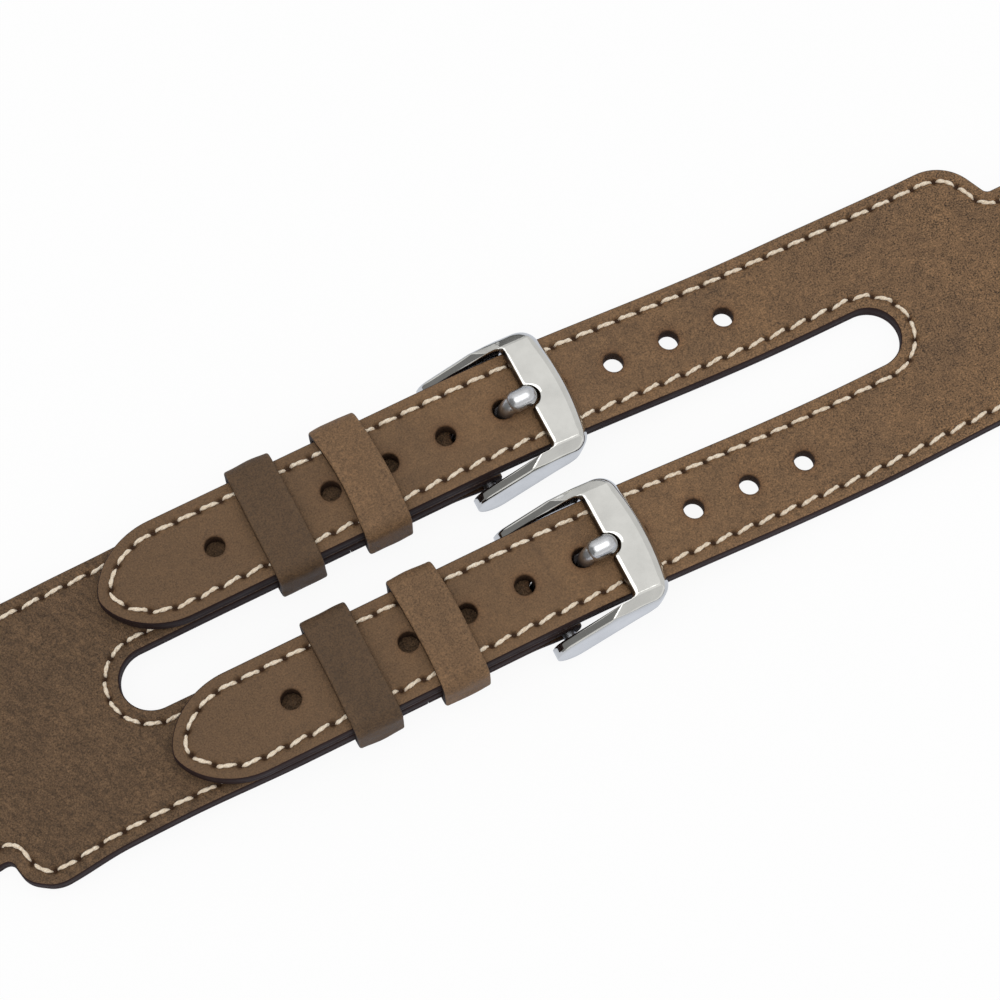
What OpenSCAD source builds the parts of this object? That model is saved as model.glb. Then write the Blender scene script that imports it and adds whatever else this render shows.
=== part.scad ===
// Twin strap watch band, buckled: a forked holed half and a forked buckle half,
// each with a top leather, a lining and two threads. Two pin buckles turn on spring
// bars, four leather loops keep the tails, and a spring bar sits at each lug end.
// Millimetres. X runs along the band towards the lug end of the holed half,
// Y across it and Z up. The band lies on z = 0, fastened, with the buckles at
// the top of a gentle rise.

/* [Straps] */
// Width of each narrow strap
strap_w = 12; // [11:0.5:13]
// Gap between the two straps
slot_w = 7.2; // [6.4:0.2:9]
// Gap between the watch lugs that the band is made for
lug_gap = 20; // [18:0.5:22]
// Side clearance of the tab between the lugs
tab_gap = 0.2; // [0.1:0.05:0.4]
// Length of the tab, from the notch to the lug bar
tab_len = 9; // [8:0.5:14]
// Pad length, from the middle of the slot's round end to the notch
pad_len = 21.2; // [18:0.2:30]
// Slot end of the holed half, measured from the tongue hole
long_slot = 41.4; // [38:0.2:60]
// Slot end of the buckle half, measured from the tongue hole
short_slot = 47.2; // [46:0.2:60]
// Radius of the rounded shoulder corners
shoulder_r = 4.5; // [2:0.5:5]
// Angle of the shoulder's slanted edge to the strap
shoulder_angle = 66; // [40:1:70]

/* [Leather] */
// Thickness of the top leather
top_t = 1.3; // [1.2:0.05:1.6]
// Thickness of the lining
lining_t = 1.0; // [0.9:0.05:1.3]
// Thickness of the leather where it is pared thin round a bar
fold_t = 0.9; // [0.8:0.05:1.0]
// Thin line of glue between two layers
glue = 0.02; // [0.01:0.01:0.04]
// Gap between the tails and the straps under them
lay_gap = 0.2; // [0.2:0.05:0.4]
// Height that the holed half climbs from the table to the buckles
rise = 5; // [4.6:0.1:7]
// Length of the climb of the holed half
climb = 43; // [38:1:50]
// Length of the pared flap turned back under a buckle bar
flap_len = 17; // [14:0.5:18]
// Length of the pared flap turned back under a lug bar
lug_flap_len = 6; // [5:0.5:7]

/* [Holes and tips] */
// Distance between adjustment holes
hole_pitch = 7; // [6:0.1:7.4]
// Diameter of the adjustment holes
hole_d = 2.45; // [2.4:0.05:3]
// Holes between the tongue and the tip
holes_before = 5; // [3:1:5]
// Holes between the tongue and the lug end
holes_after = 4; // [2:1:5]
// Distance from the last hole to the tip
tip_margin = 13.8; // [11:0.2:14]
// Length of the rounded tip
tip_len = 8.5; // [7.5:0.5:12]
// Fullness of the rounded tip: 1 for an ellipse, more for a pointed arch
tip_point = 1.25; // [1:0.05:1.4]

/* [Stitching] */
// Distance of the seam from the edge
seam_inset = 1.55; // [1.3:0.05:1.8]
// Length of one stitch with its gap
stitch_pitch = 2.45; // [2.2:0.05:3]
// Length of the thread that shows in each stitch
stitch_len = 1.95; // [1.5:0.05:2]
// Radius of the top thread
thread_r = 0.24; // [0.18:0.01:0.26]
// Slant of each stitch across the seam
stitch_slant = 9; // [0:1:12]
// Width of the groove pressed in by the thread
groove_w = 0.95; // [0.9:0.05:1.1]
// Depth of the groove in the top leather
groove_h = 0.35; // [0.3:0.01:0.4]
// Radius of the thread on the underside
under_r = 0.17; // [0.14:0.01:0.18]
// Depth of the groove in the lining
under_h = 0.45; // [0.42:0.01:0.5]

/* [Keepers] */
// Width of a keeper along the strap
keeper_b = 5.4; // [4:0.2:6]
// Thickness of a keeper's leather
keeper_t = 0.95; // [0.8:0.05:1.1]
// Clearance round the strap inside a keeper
keeper_gap = 0.3; // [0.25:0.05:0.4]
// Radius of a keeper's upper corners
keeper_r = 0.9; // [0.5:0.1:1.1]
// Radius of a keeper's lower corners
keeper_low_r = 1.8; // [1:0.1:2]
// Middle of the fixed keeper, left of the tongue hole
fixed_keeper = 17.6; // [16:0.1:18]
// Middle of the free keeper, left of the tongue hole
free_keeper = 27.9; // [26:0.1:29]

/* [Buckles] */
// Buckle bar, left of the tongue hole
bar_back = 4.7; // [4.7:0.1:5.2]
// Clearance between an arm and the strap's edge, with the buckle centred
arm_gap = 0.6; // [0.6:0.05:0.9]
// How far the buckles rest off centre, within that clearance
side_play = 0.3; // [0:0.05:0.3]
// Thickness of an arm
arm_t = 1.2; // [1:0.05:1.4]
// Radius of an arm's round end
arm_end_r = 2.4; // [1.8:0.1:2.4]
// Length of an arm's level top behind the front bar
arm_level = 1.4; // [0.6:0.1:2]
// Inner edge of the front bar, right of the tongue hole
front_in = 3.1; // [2.9:0.1:3.4]
// Width of the front bar
front_w = 4.4; // [3.6:0.1:5]
// Thickness of the front bar
front_t = 1.15; // [1:0.05:1.4]
// Clearance between the front bar and the tail
front_gap = 0.35; // [0.3:0.05:0.5]
// Width of the slanted band along the front bar's outer edge
bevel_w = 0.9; // [0.7:0.1:1.2]
// Width of the slanted band at each end of the front bar
end_bevel_w = 1.8; // [1.2:0.1:2]
// Drop of the slanted band at each end of the front bar
end_bevel_h = 1.1; // [0.8:0.1:1.4]
// Depth of an arm below the front bar's inner edge
arm_drop = 3.2; // [2:0.2:3.6]
// Corner radius of the frame
frame_r = 2.4; // [1.5:0.1:3]
// Bulge of the front bar's outer edge
front_bow = 0.45; // [0.2:0.05:0.8]
// Diameter of the tongue's rounded finger
finger_d = 2.4; // [2:0.05:2.5]
// Reach of the finger into the notch in the front bar
notch_in = 1.2; // [0.9:0.1:1.4]
// Clearance round the finger in its notch
notch_gap = 0.12; // [0.08:0.02:0.2]
// Clearance between the finger and the tail
finger_gap = 0.2; // [0.15:0.05:0.4]
// Diameter of the tongue's stem in the hole
stem_d = 1.6; // [1.3:0.05:1.65]
// Length over which the finger widens from the stem
flare_len = 1.3; // [1:0.1:1.6]
// Clearance between the tongue's shank and the tail above it
stem_gap = 0.3; // [0.25:0.05:0.4]
// Width of the tongue's eye round the bar
eye_w = 2.2; // [1.8:0.1:2.4]
// Wall of the tongue's eye
eye_t = 0.6; // [0.5:0.05:0.7]
// Clearance beside the eye in the window cut in the fold
eye_gap = 0.6; // [0.5:0.05:0.8]
// Length of that window behind the bar
window_back = 3.6; // [3:0.1:4.4]

/* [Spring bars] */
// Diameter of the lug bar's tube
lug_tube_d = 1.8; // [1.6:0.05:1.9]
// Diameter of the buckle bar's tube
buckle_tube_d = 1.5; // [1.4:0.05:1.6]
// Diameter of the sprung tips
tip_d = 0.8; // [0.7:0.05:0.9]
// Clearance between a bar's tube and the leather or eye round it
bore_gap = 0.05; // [0.03:0.01:0.08]
// Clearance between a tip and the hole it runs in
tip_gap = 0.04; // [0.03:0.01:0.05]
// Reach of a lug bar's tip past the lug's inner face
lug_reach = 0.8; // [0.5:0.05:0.9]
// Reach of a buckle bar's tip into the arm
arm_reach = 0.65; // [0.5:0.05:0.7]
// Gap between a buckle bar's tube and the arm
end_gap = 0.3; // [0.2:0.05:0.4]
// Gap between a lug bar's tube and the lug, where the tip's collar travels
lug_end_gap = 1.3; // [1.25:0.05:1.6]
// Gap between that collar and the lug
collar_gap = 0.1; // [0.05:0.05:0.2]
// How much further a tip's head reaches out than the collar, to stay in the tube
head_step = 0.1; // [0.08:0.01:0.12]
// Thickness of the crimped lip at a tube's end
lip_t = 0.25; // [0.2:0.05:0.4]
// Length of a tip's head inside the tube
head_len = 1.2; // [1:0.1:1.6]
// Wall of a tube
tube_wall = 0.2; // [0.15:0.05:0.25]
// Thickness of the spring's wire
wire = 0.16; // [0.12:0.01:0.18]
// Turns of a bar's spring
turns = 12; // [8:1:12]

/* [Hidden] */
$fn = 48;

// Sizes that several pieces share
full_t = top_t + lining_t;
half_w = slot_w / 2 + strap_w;
tab_w = lug_gap - 2 * tab_gap;
yc = (slot_w + strap_w) / 2;
long_notch = long_slot + pad_len;
short_notch = short_slot + pad_len;
long_bar = long_notch + tab_len;
short_bar = short_notch + tab_len;
long_tip = holes_before * hole_pitch + tip_margin;
tail_top = full_t + rise;
climb_start = -6;
short_lift = rise - full_t - lay_gap;
short_top = full_t + short_lift;
seam_end = 4;

// Bars and the folds round them
collar_r = lug_tube_d / 2 - tube_wall - tip_gap - head_step;
lug_bore_r = lug_tube_d / 2 + bore_gap;
buckle_bore_r = buckle_tube_d / 2 + bore_gap;
lug_fold_r = lug_bore_r + fold_t;
buckle_fold_r = buckle_bore_r + fold_t;
bar_z = short_top - buckle_fold_r;
frame_inner = strap_w + 2 * arm_gap;
frame_half = frame_inner / 2 + arm_t;
window_w = eye_w + 2 * eye_gap;
front_out = front_in + front_w;
ramp = 5;

// The middle of the band's box goes over the origin
mid_x = (long_bar - short_bar) / 2;

// Smooth step from 0 at a to 1 at b
function ease(x, a, b) = let (t = max(0, min(1, (x - a) / (b - a)))) (1 - cos(180 * t)) / 2;

// Heights of the lower and upper face. The holed half is given in x. The buckle half
// is given in u, which counts from the tongue hole towards its own lug end.
function long_low(x) = rise * (1 - ease(x, climb_start, climb_start + climb));
function short_low(u) = short_lift * (1 - ease(u, short_slot + 1, short_bar + 2));
function lug_swell(v, notch, bar) = (2 * lug_fold_r - full_t) * ease(v, notch + 1, bar);
function long_high(x) = long_low(x) + full_t + lug_swell(x, long_notch, long_bar);
function short_high(u) = short_low(u) + full_t + lug_swell(u, short_notch, short_bar);

// Places where the side view needs a point, between a and b
long_bends = concat([for (k = [0:20]) climb_start + climb * k / 20],
  [for (k = [0:6]) long_notch + 1 + (tab_len - 1) * k / 6]);
short_bends = [for (k = [0:16]) short_slot + 1 + (short_bar - short_slot + 1) * k / 16];
function bends(a, b, list) = concat([a], [for (x = list) if (x > a + 0.2 && x < b - 0.2) x], [b]);
function back(v) = [for (k = [len(v) - 1:-1:0]) v[k]];
function long_line(a, b, dz, high) =
  [for (x = bends(a, b, long_bends)) [x, (high ? long_high(x) : long_low(x)) + dz]];
function short_line(a, b, dz, high) =
  [for (u = bends(a, b, short_bends)) [u, (high ? short_high(u) : short_low(u)) + dz]];

// Plan view of one side of the band, at a given inset from the edge
function slot_arc(middle, i) =
  [for (k = [0:9]) [middle + (slot_w / 2 + i) * cos(10 * k), (slot_w / 2 + i) * sin(10 * k)]];
function tip_arc(i) = [for (k = [0:24]) let (a = 270 - 7.5 * k, s = sin(a))
  [tip_len - long_tip + (tip_len - i) * cos(a),
    yc + (strap_w / 2 - i) * sign(s) * pow(abs(s), tip_point)]];
function shoulder(notch, i) = let (
    nx = sin(shoulder_angle),
    ny = cos(shoulder_angle),
    cy = half_w - shoulder_r,
    cx = notch - (shoulder_r - ny * (tab_w / 2 - cy)) / nx,
    r = shoulder_r - i)
  concat([for (k = [0:6]) let (a = 90 - shoulder_angle * k / 6) [cx + r * cos(a), cy + r * sin(a)]],
    [[cx + (r - ny * (tab_w / 2 - i - cy)) / nx, tab_w / 2 - i]]);
function long_side(i, end) =
  concat(slot_arc(long_slot, i), tip_arc(i), shoulder(long_notch, i), [[end, tab_w / 2 - i]]);
function short_inner(i, start) = concat(slot_arc(short_slot, i), [[start, yc - strap_w / 2 + i]]);
function short_outer(i, start, end) =
  concat([[start, yc + strap_w / 2 - i]], shoulder(short_notch, i), [[end, tab_w / 2 - i]]);
function short_side(i, start, end) = concat(short_inner(i, start), short_outer(i, start, end));
function both_sides(p) = concat(p, [for (q = back(p)) if (q != p[0]) [q.x, -q.y]]);

// Distance along a line of points, and the place at a given distance
function run(p) =
  [for (i = 0, s = 0; i < len(p); s = s + (i + 1 < len(p) ? norm(p[i + 1] - p[i]) : 0), i = i + 1) s];
function spot(p, r, s) = [lookup(s, [for (i = [0:len(p) - 1]) [r[i], p[i].x]]),
  lookup(s, [for (i = [0:len(p) - 1]) [r[i], p[i].y]])];

// Stands a side view up, centred on the X axis
module upright(w) {
  translate([0, w / 2, 0])
    rotate([90, 0, 0])
      linear_extrude(w) children();
}

module plan(points, low = -2, high = 16) {
  translate([0, 0, low]) linear_extrude(high - low) polygon(both_sides(points));
}

module at_straps() {
  for (s = [1, -1])
    translate([0, s * yc, 0]) children();
}

// Turns a half that is drawn in u so that its lug end points left
module to_left() {
  mirror([1, 0, 0]) children();
}

module place() {
  translate([-mid_x, 0, 0]) children();
}

// The pressed groove along a seam is the strip between two insets
module seam_strip(inner, outer) {
  difference() {
    plan(outer);
    plan(inner, -3, 17);
  }
}

module long_strip() {
  seam_strip(long_side(seam_inset + groove_w / 2, long_bar - seam_end),
    long_side(seam_inset - groove_w / 2, long_bar - seam_end));
}

module short_strip() {
  seam_strip(short_side(seam_inset + groove_w / 2, bar_back + ramp, short_bar - seam_end),
    short_side(seam_inset - groove_w / 2, bar_back + ramp, short_bar - seam_end));
}

module adjustment_holes() {
  at_straps()
    for (k = [-holes_before:holes_after])
      translate([k * hole_pitch, 0, -1]) cylinder(h = tail_top + 2, d = hole_d);
}

// Side view of the leather that wraps a lug bar and its pared flap
module lug_fold(bar) {
  translate([bar, lug_fold_r]) circle(lug_fold_r);
  translate([bar - lug_flap_len, 0]) square([lug_flap_len, fold_t]);
}

module lug_bore(bar) {
  translate([bar, 0, lug_fold_r])
    rotate([90, 0, 0]) cylinder(h = 60, r = lug_bore_r, center = true);
}

module long_top_leather() {
  color("saddlebrown")
  place()
  difference() {
    intersection() {
      upright(80) {
        polygon(concat(long_line(-long_tip - 1, long_bar, lining_t + glue, false),
          back(long_line(-long_tip - 1, long_bar, 0, true))));
        lug_fold(long_bar);
      }
      plan(long_side(0, long_bar + lug_fold_r + 1));
    }
    intersection() {
      upright(80)
        polygon(concat(long_line(-long_tip - 2, long_bar, -groove_h, true),
          back(long_line(-long_tip - 2, long_bar, 1, true))));
      long_strip();
    }
    adjustment_holes();
    lug_bore(long_bar);
  }
}

module long_lining() {
  color("peru")
  place()
  difference() {
    intersection() {
      upright(80)
        polygon(concat(long_line(-long_tip - 1, long_bar - lug_flap_len - 0.1, 0, false),
          back(long_line(-long_tip - 1, long_bar - lug_flap_len - 0.1, lining_t, false))));
      plan(long_side(0, long_bar));
    }
    intersection() {
      upright(80)
        polygon(concat(long_line(-long_tip - 2, long_bar, -1, false),
          back(long_line(-long_tip - 2, long_bar, under_h, false))));
      long_strip();
    }
    adjustment_holes();
  }
}

// The buckle half is drawn in u. Its leather wraps each buckle bar, with a window
// for the tongue's eye, and its pared flap is glued underneath.
module short_top_leather() {
  color("saddlebrown")
  place() to_left()
  difference() {
    intersection() {
      upright(80) {
        polygon(concat([[bar_back, short_top - fold_t], [bar_back + ramp, short_top - top_t + glue]],
          short_line(bar_back + flap_len, short_bar, lining_t + glue, false),
          back(short_line(bar_back, short_bar, 0, true))));
        translate([bar_back, bar_z]) circle(buckle_fold_r);
        polygon([[bar_back, bar_z - buckle_fold_r], [bar_back + ramp, short_lift],
          [bar_back + flap_len, short_lift], [bar_back + flap_len, short_lift + fold_t],
          [bar_back + ramp, short_lift + fold_t], [bar_back, bar_z - buckle_bore_r]]);
        lug_fold(short_bar);
      }
      plan(short_side(0, bar_back - buckle_fold_r - 1, short_bar + lug_fold_r + 1));
    }
    intersection() {
      upright(80)
        polygon(concat(short_line(0, short_bar, -groove_h, true),
          back(short_line(0, short_bar, 1, true))));
      short_strip();
    }
    at_straps() {
      translate([bar_back, 0, bar_z])
        rotate([90, 0, 0]) cylinder(h = strap_w + 1, r = buckle_bore_r, center = true);
      translate([bar_back - 5, -window_w / 2, -1]) cube([5 + window_back, window_w, tail_top + 2]);
    }
    lug_bore(short_bar);
  }
}

module short_lining() {
  color("peru")
  place() to_left()
  difference() {
    intersection() {
      upright(80)
        polygon(concat(short_line(bar_back + flap_len + 0.1, short_bar - lug_flap_len - 0.1, 0, false),
          back(short_line(bar_back + flap_len + 0.1, short_bar - lug_flap_len - 0.1, lining_t, false))));
      plan(short_side(0, bar_back, short_bar));
    }
    intersection() {
      upright(80)
        polygon(concat(short_line(0, short_bar, -1, false),
          back(short_line(0, short_bar, under_h, false))));
      short_strip();
    }
  }
}

// One stitch between two points
module stitch(p, q, r) {
  d = q - p;
  n = norm(d);
  translate((p + q) / 2)
    rotate([0, acos(d.z / n), atan2(d.y, d.x)]) cylinder(h = n, r = r, center = true, $fn = 16);
}

// Stitches along a line of points, on both sides of the band. The height comes from
// the holed half or the buckle half, on its upper or lower face.
module seam(points, is_long, is_top, first, last, slant) {
  r = run(points);
  thick = is_top ? thread_r : under_r;
  for (k = [0:floor(r[len(r) - 1] / stitch_pitch) - 1]) {
    a = spot(points, r, (k + 0.5) * stitch_pitch - stitch_len / 2);
    b = spot(points, r, (k + 0.5) * stitch_pitch + stitch_len / 2);
    if (min(a.x, b.x) > first && max(a.x, b.x) < last) {
      w = (b - a) / norm(b - a) * stitch_len / 2 * sin(slant);
      for (m = [1, -1]) {
        p = a + m * [w.y, -w.x];
        q = b - m * [w.y, -w.x];
        stitch([p.x, m * p.y, thread_z(p.x, is_long, is_top)],
          [q.x, m * q.y, thread_z(q.x, is_long, is_top)], thick);
      }
    }
  }
}

function thread_z(x, is_long, is_top) = is_top
  ? (is_long ? long_high(x) : short_high(x)) - groove_h + thread_r + 0.03
  : (is_long ? long_low(x) : short_low(x)) + under_h - under_r - 0.03;

module long_top_thread() {
  color("wheat")
  place()
  seam(long_side(seam_inset, long_bar - seam_end), true, true,
    -long_tip, long_bar - seam_end - 0.3, stitch_slant);
}

module long_under_thread() {
  color("tan")
  place()
  seam(long_side(seam_inset, long_bar - seam_end), true, false,
    -long_tip, long_bar - lug_flap_len - 0.4, 0);
}

module short_top_thread() {
  color("wheat")
  place() to_left() {
    seam(short_inner(seam_inset, bar_back + ramp), false, true,
      bar_back + ramp + 0.3, short_bar, stitch_slant);
    seam(short_outer(seam_inset, bar_back + ramp, short_bar - seam_end), false, true,
      bar_back + ramp, short_bar - seam_end - 0.3, stitch_slant);
  }
}

module short_under_thread() {
  color("tan")
  place() to_left() {
    seam(short_inner(seam_inset, bar_back + ramp), false, false,
      bar_back + flap_len + 0.4, short_bar, 0);
    seam(short_outer(seam_inset, bar_back + ramp, short_bar - seam_end), false, false,
      bar_back + flap_len + 0.4, short_bar - lug_flap_len - 0.4, 0);
  }
}

// Rounded box section of a keeper, w wide, from low to high
module rounded(w, low, high, low_r, high_r) {
  middle = (low + high) / 2;
  translate([-w / 2 + low_r, low]) square([w - 2 * low_r, middle - low]);
  translate([-w / 2, low + low_r]) square([w, middle - low - low_r]);
  translate([-w / 2 + high_r, middle]) square([w - 2 * high_r, high - middle]);
  translate([-w / 2, middle]) square([w, high - middle - high_r]);
  for (y = [-1, 1]) {
    translate([y * (w / 2 - low_r), low + low_r]) circle(low_r);
    translate([y * (w / 2 - high_r), high - high_r]) circle(high_r);
  }
}

// A leather loop round the tail and the strap under it. under is the gap below.
module keeper(back_x, under) {
  low = short_lift - under;
  high = tail_top + keeper_gap;
  wide = strap_w + 2 * keeper_gap;
  place()
  translate([-back_x - keeper_b / 2, 0, 0])
    rotate([90, 0, 90])
      linear_extrude(keeper_b)
        difference() {
          rounded(wide + 2 * keeper_t, low - keeper_t, high + keeper_t, keeper_low_r, keeper_r);
          rounded(wide, low, high, 0.3, 0.3);
        }
}

module keeper_fixed_a() {
  color("peru") translate([0, yc, 0]) keeper(fixed_keeper, glue);
}

module keeper_fixed_b() {
  color("peru") translate([0, -yc, 0]) keeper(fixed_keeper, glue);
}

module keeper_free_a() {
  color("sienna") translate([0, yc, 0]) keeper(free_keeper, keeper_gap);
}

module keeper_free_b() {
  color("sienna") translate([0, -yc, 0]) keeper(free_keeper, keeper_gap);
}

// Plan of the buckle frame before its window is cut
module frame_plan() {
  start = -bar_back - arm_end_r - 1;
  bow_r = (frame_half * frame_half + front_bow * front_bow) / (2 * front_bow);
  intersection() {
    union() {
      translate([start, -frame_half]) square([front_out - frame_r - start, 2 * frame_half]);
      translate([0, frame_r - frame_half]) square([front_out, 2 * (frame_half - frame_r)]);
      for (s = [1, -1])
        translate([front_out - frame_r, s * (frame_half - frame_r)]) circle(frame_r);
    }
    translate([front_out - bow_r, 0]) circle(bow_r, $fn = 200);
  }
}

// Heights of the front bar's lower face, which follows the tail
bar_in_z = long_high(front_in) + front_gap;
bar_out_z = long_high(front_out) + front_gap;
flat_end = front_w - bevel_w;
flat_out_z = bar_in_z + front_t + (bar_out_z - bar_in_z) * flat_end / front_w;

module front_section() {
  polygon([[front_in, bar_in_z], [front_in, bar_in_z + front_t], [front_in + flat_end, flat_out_z],
    [front_out - 0.3, bar_out_z + 0.6 * front_t], [front_out, bar_out_z + 0.3 * front_t],
    [front_out - 0.3, bar_out_z]]);
}

// View along the strap, with the slanted bands at both ends
module frame_crown() {
  top = bar_in_z + front_t;
  w = frame_half;
  polygon([[-w, -1], [-w, top - end_bevel_h], [end_bevel_w - w, top], [w - end_bevel_w, top],
    [w, top - end_bevel_h], [w, -1]]);
}

// Where a straight edge from point p meets the round end of the arm; side is 1 or -1
function touch(p, side) =
  let (d = p - [-bar_back, bar_z], a = atan2(d.y, d.x) + side * acos(arm_end_r / norm(d)))
  [-bar_back + arm_end_r * cos(a), bar_z + arm_end_r * sin(a)];

module arm_section() {
  top = [front_in - arm_level, bar_in_z + front_t];
  low = [front_in + 1.2, bar_in_z - arm_drop];
  translate([-bar_back, bar_z]) circle(arm_end_r);
  polygon([[-bar_back, bar_z], touch(top, 1), top, top + [arm_level, 0],
    [front_in + flat_end, flat_out_z],
    [front_out - 0.3, bar_out_z + 0.6 * front_t], [front_out, bar_out_z + 0.3 * front_t],
    [front_out - 0.4, bar_out_z - 0.2], [front_out - 1.6, bar_out_z - 1.4], low, touch(low, -1)]);
}

module buckle_frame() {
  place()
  difference() {
    intersection() {
      translate([0, 0, -1]) linear_extrude(tail_top + 6) frame_plan();
      rotate([90, 0, 90]) linear_extrude(80, center = true) frame_crown();
      union() {
        upright(2 * frame_half + 2) front_section();
        difference() {
          upright(2 * frame_half + 2) arm_section();
          upright(frame_inner) square([60, 60], center = true);
        }
      }
    }
    translate([-bar_back, 0, bar_z])
      rotate([90, 0, 0])
        cylinder(h = frame_inner + 2 * arm_reach + 0.2, r = tip_d / 2 + tip_gap, center = true);
    translate([finger_end - finger_d / 2, 0, -1]) {
      cylinder(h = tail_top + 6, r = finger_d / 2 + notch_gap);
      translate([-4, -finger_d / 2 - notch_gap, 0]) cube([4, finger_d + 2 * notch_gap, tail_top + 6]);
    }
  }
}

module buckle_frame_a() {
  color("silver") translate([0, yc - side_play, 0]) buckle_frame();
}

module buckle_frame_b() {
  color("silver") translate([0, -yc - side_play, 0]) buckle_frame();
}

// The tongue's eye turns on the bar, its shank runs under the tail, its stem
// comes up through the hole and its finger rests in the front bar's notch.
finger_end = front_in + notch_in;
finger_z = long_high(0) + finger_gap + finger_d / 2;
shank_z = long_low(0) - stem_gap - stem_d / 2;

module tongue() {
  place()
  difference() {
    union() {
      translate([-bar_back, 0, bar_z])
        rotate([90, 0, 0]) cylinder(h = eye_w, r = buckle_bore_r + eye_t, center = true);
      translate([-bar_back, 0, shank_z]) rotate([0, 90, 0]) cylinder(h = bar_back, d = stem_d);
      translate([0, 0, shank_z]) sphere(d = stem_d);
      translate([0, 0, shank_z]) cylinder(h = finger_z - shank_z, d = stem_d);
      translate([0, 0, finger_z]) sphere(d = stem_d);
      translate([0, 0, finger_z]) rotate([0, 90, 0]) cylinder(h = flare_len, d1 = stem_d, d2 = finger_d);
      translate([flare_len, 0, finger_z])
        rotate([0, 90, 0]) cylinder(h = finger_end - finger_d / 2 - flare_len, d = finger_d);
      translate([finger_end - finger_d / 2, 0, finger_z]) sphere(d = finger_d);
    }
    translate([-bar_back, 0, bar_z])
      rotate([90, 0, 0]) cylinder(h = eye_w + 2, r = buckle_bore_r, center = true);
  }
}

module tongue_a() {
  color("gainsboro") translate([0, yc - side_play, 0]) tongue();
}

module tongue_b() {
  color("gainsboro") translate([0, -yc - side_play, 0]) tongue();
}

// Spring bars, drawn along Y about the origin. gap is the clear width they span, and
// inset is the distance from each side of it to the tube's end. shaft_r is the radius
// of what passes through the tube's crimped lips.
module bar_tube(gap, inset, d, shaft_r) {
  len = gap - 2 * inset;
  rotate([90, 0, 0])
    difference() {
      cylinder(h = len, d = d, center = true);
      cylinder(h = len - 2 * lip_t, r = d / 2 - tube_wall, center = true);
      cylinder(h = len + 1, r = shaft_r + tip_gap, center = true);
    }
}

module bar_tip(gap, inset, d, reach) {
  head_end = gap / 2 - inset - lip_t - 0.02;
  rotate([-90, 0, 0]) {
    translate([0, 0, head_end - head_len]) cylinder(h = head_len, r = d / 2 - tube_wall - tip_gap);
    translate([0, 0, head_end - 0.1]) cylinder(h = gap / 2 + reach - head_end + 0.1, d = tip_d);
  }
}

// A lug bar's tip has a collar, which a tool or a nail catches to draw it in
module lug_tip() {
  from = lug_gap / 2 - lug_end_gap - lip_t - 0.02 - head_len / 2;
  bar_tip(lug_gap, lug_end_gap, lug_tube_d, lug_reach);
  rotate([-90, 0, 0])
    translate([0, 0, from]) cylinder(h = lug_gap / 2 - collar_gap - from, r = collar_r);
}

// A coil spring made by turning a short arc as it rises
module bar_spring(gap, inset, d) {
  len = gap - 2 * (inset + lip_t + 0.04 + head_len);
  r = d / 2 - tube_wall - tip_gap;
  arc = 360 * wire * turns / len;
  rotate([90, 0, 0])
    translate([0, 0, -len / 2])
      linear_extrude(len, twist = -360 * turns, slices = 8 * turns, $fn = 6)
        polygon(concat([for (a = [0, arc / 2, arc]) r * [cos(a), sin(a)]],
          [for (a = [arc, arc / 2, 0]) (r - wire) * [cos(a), sin(a)]]));
}

module at_buckle_bar(side) {
  place() translate([-bar_back, side * yc - side_play, bar_z]) children();
}

module at_long_bar() {
  place() translate([long_bar, 0, lug_fold_r]) children();
}

module at_short_bar() {
  place() translate([-short_bar, 0, lug_fold_r]) children();
}

module buckle_bar_a_tube() {
  color("lightsteelblue") at_buckle_bar(1) bar_tube(frame_inner, end_gap, buckle_tube_d, tip_d / 2);
}

module buckle_bar_a_tip_far() {
  color("steelblue") at_buckle_bar(1) bar_tip(frame_inner, end_gap, buckle_tube_d, arm_reach);
}

module buckle_bar_a_tip_near() {
  color("steelblue")
  at_buckle_bar(1)
    mirror([0, 1, 0]) bar_tip(frame_inner, end_gap, buckle_tube_d, arm_reach);
}

module buckle_bar_a_spring() {
  color("gray") at_buckle_bar(1) bar_spring(frame_inner, end_gap, buckle_tube_d);
}

module buckle_bar_b_tube() {
  color("lightsteelblue") at_buckle_bar(-1) bar_tube(frame_inner, end_gap, buckle_tube_d, tip_d / 2);
}

module buckle_bar_b_tip_far() {
  color("steelblue") at_buckle_bar(-1) bar_tip(frame_inner, end_gap, buckle_tube_d, arm_reach);
}

module buckle_bar_b_tip_near() {
  color("steelblue")
  at_buckle_bar(-1)
    mirror([0, 1, 0]) bar_tip(frame_inner, end_gap, buckle_tube_d, arm_reach);
}

module buckle_bar_b_spring() {
  color("gray") at_buckle_bar(-1) bar_spring(frame_inner, end_gap, buckle_tube_d);
}

module lug_bar_long_tube() {
  color("lightsteelblue") at_long_bar() bar_tube(lug_gap, lug_end_gap, lug_tube_d, collar_r);
}

module lug_bar_long_tip_far() {
  color("steelblue") at_long_bar() lug_tip();
}

module lug_bar_long_tip_near() {
  color("steelblue") at_long_bar() mirror([0, 1, 0]) lug_tip();
}

module lug_bar_long_spring() {
  color("gray") at_long_bar() bar_spring(lug_gap, lug_end_gap, lug_tube_d);
}

module lug_bar_short_tube() {
  color("lightsteelblue") at_short_bar() bar_tube(lug_gap, lug_end_gap, lug_tube_d, collar_r);
}

module lug_bar_short_tip_far() {
  color("steelblue") at_short_bar() lug_tip();
}

module lug_bar_short_tip_near() {
  color("steelblue") at_short_bar() mirror([0, 1, 0]) lug_tip();
}

module lug_bar_short_spring() {
  color("gray") at_short_bar() bar_spring(lug_gap, lug_end_gap, lug_tube_d);
}

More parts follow.
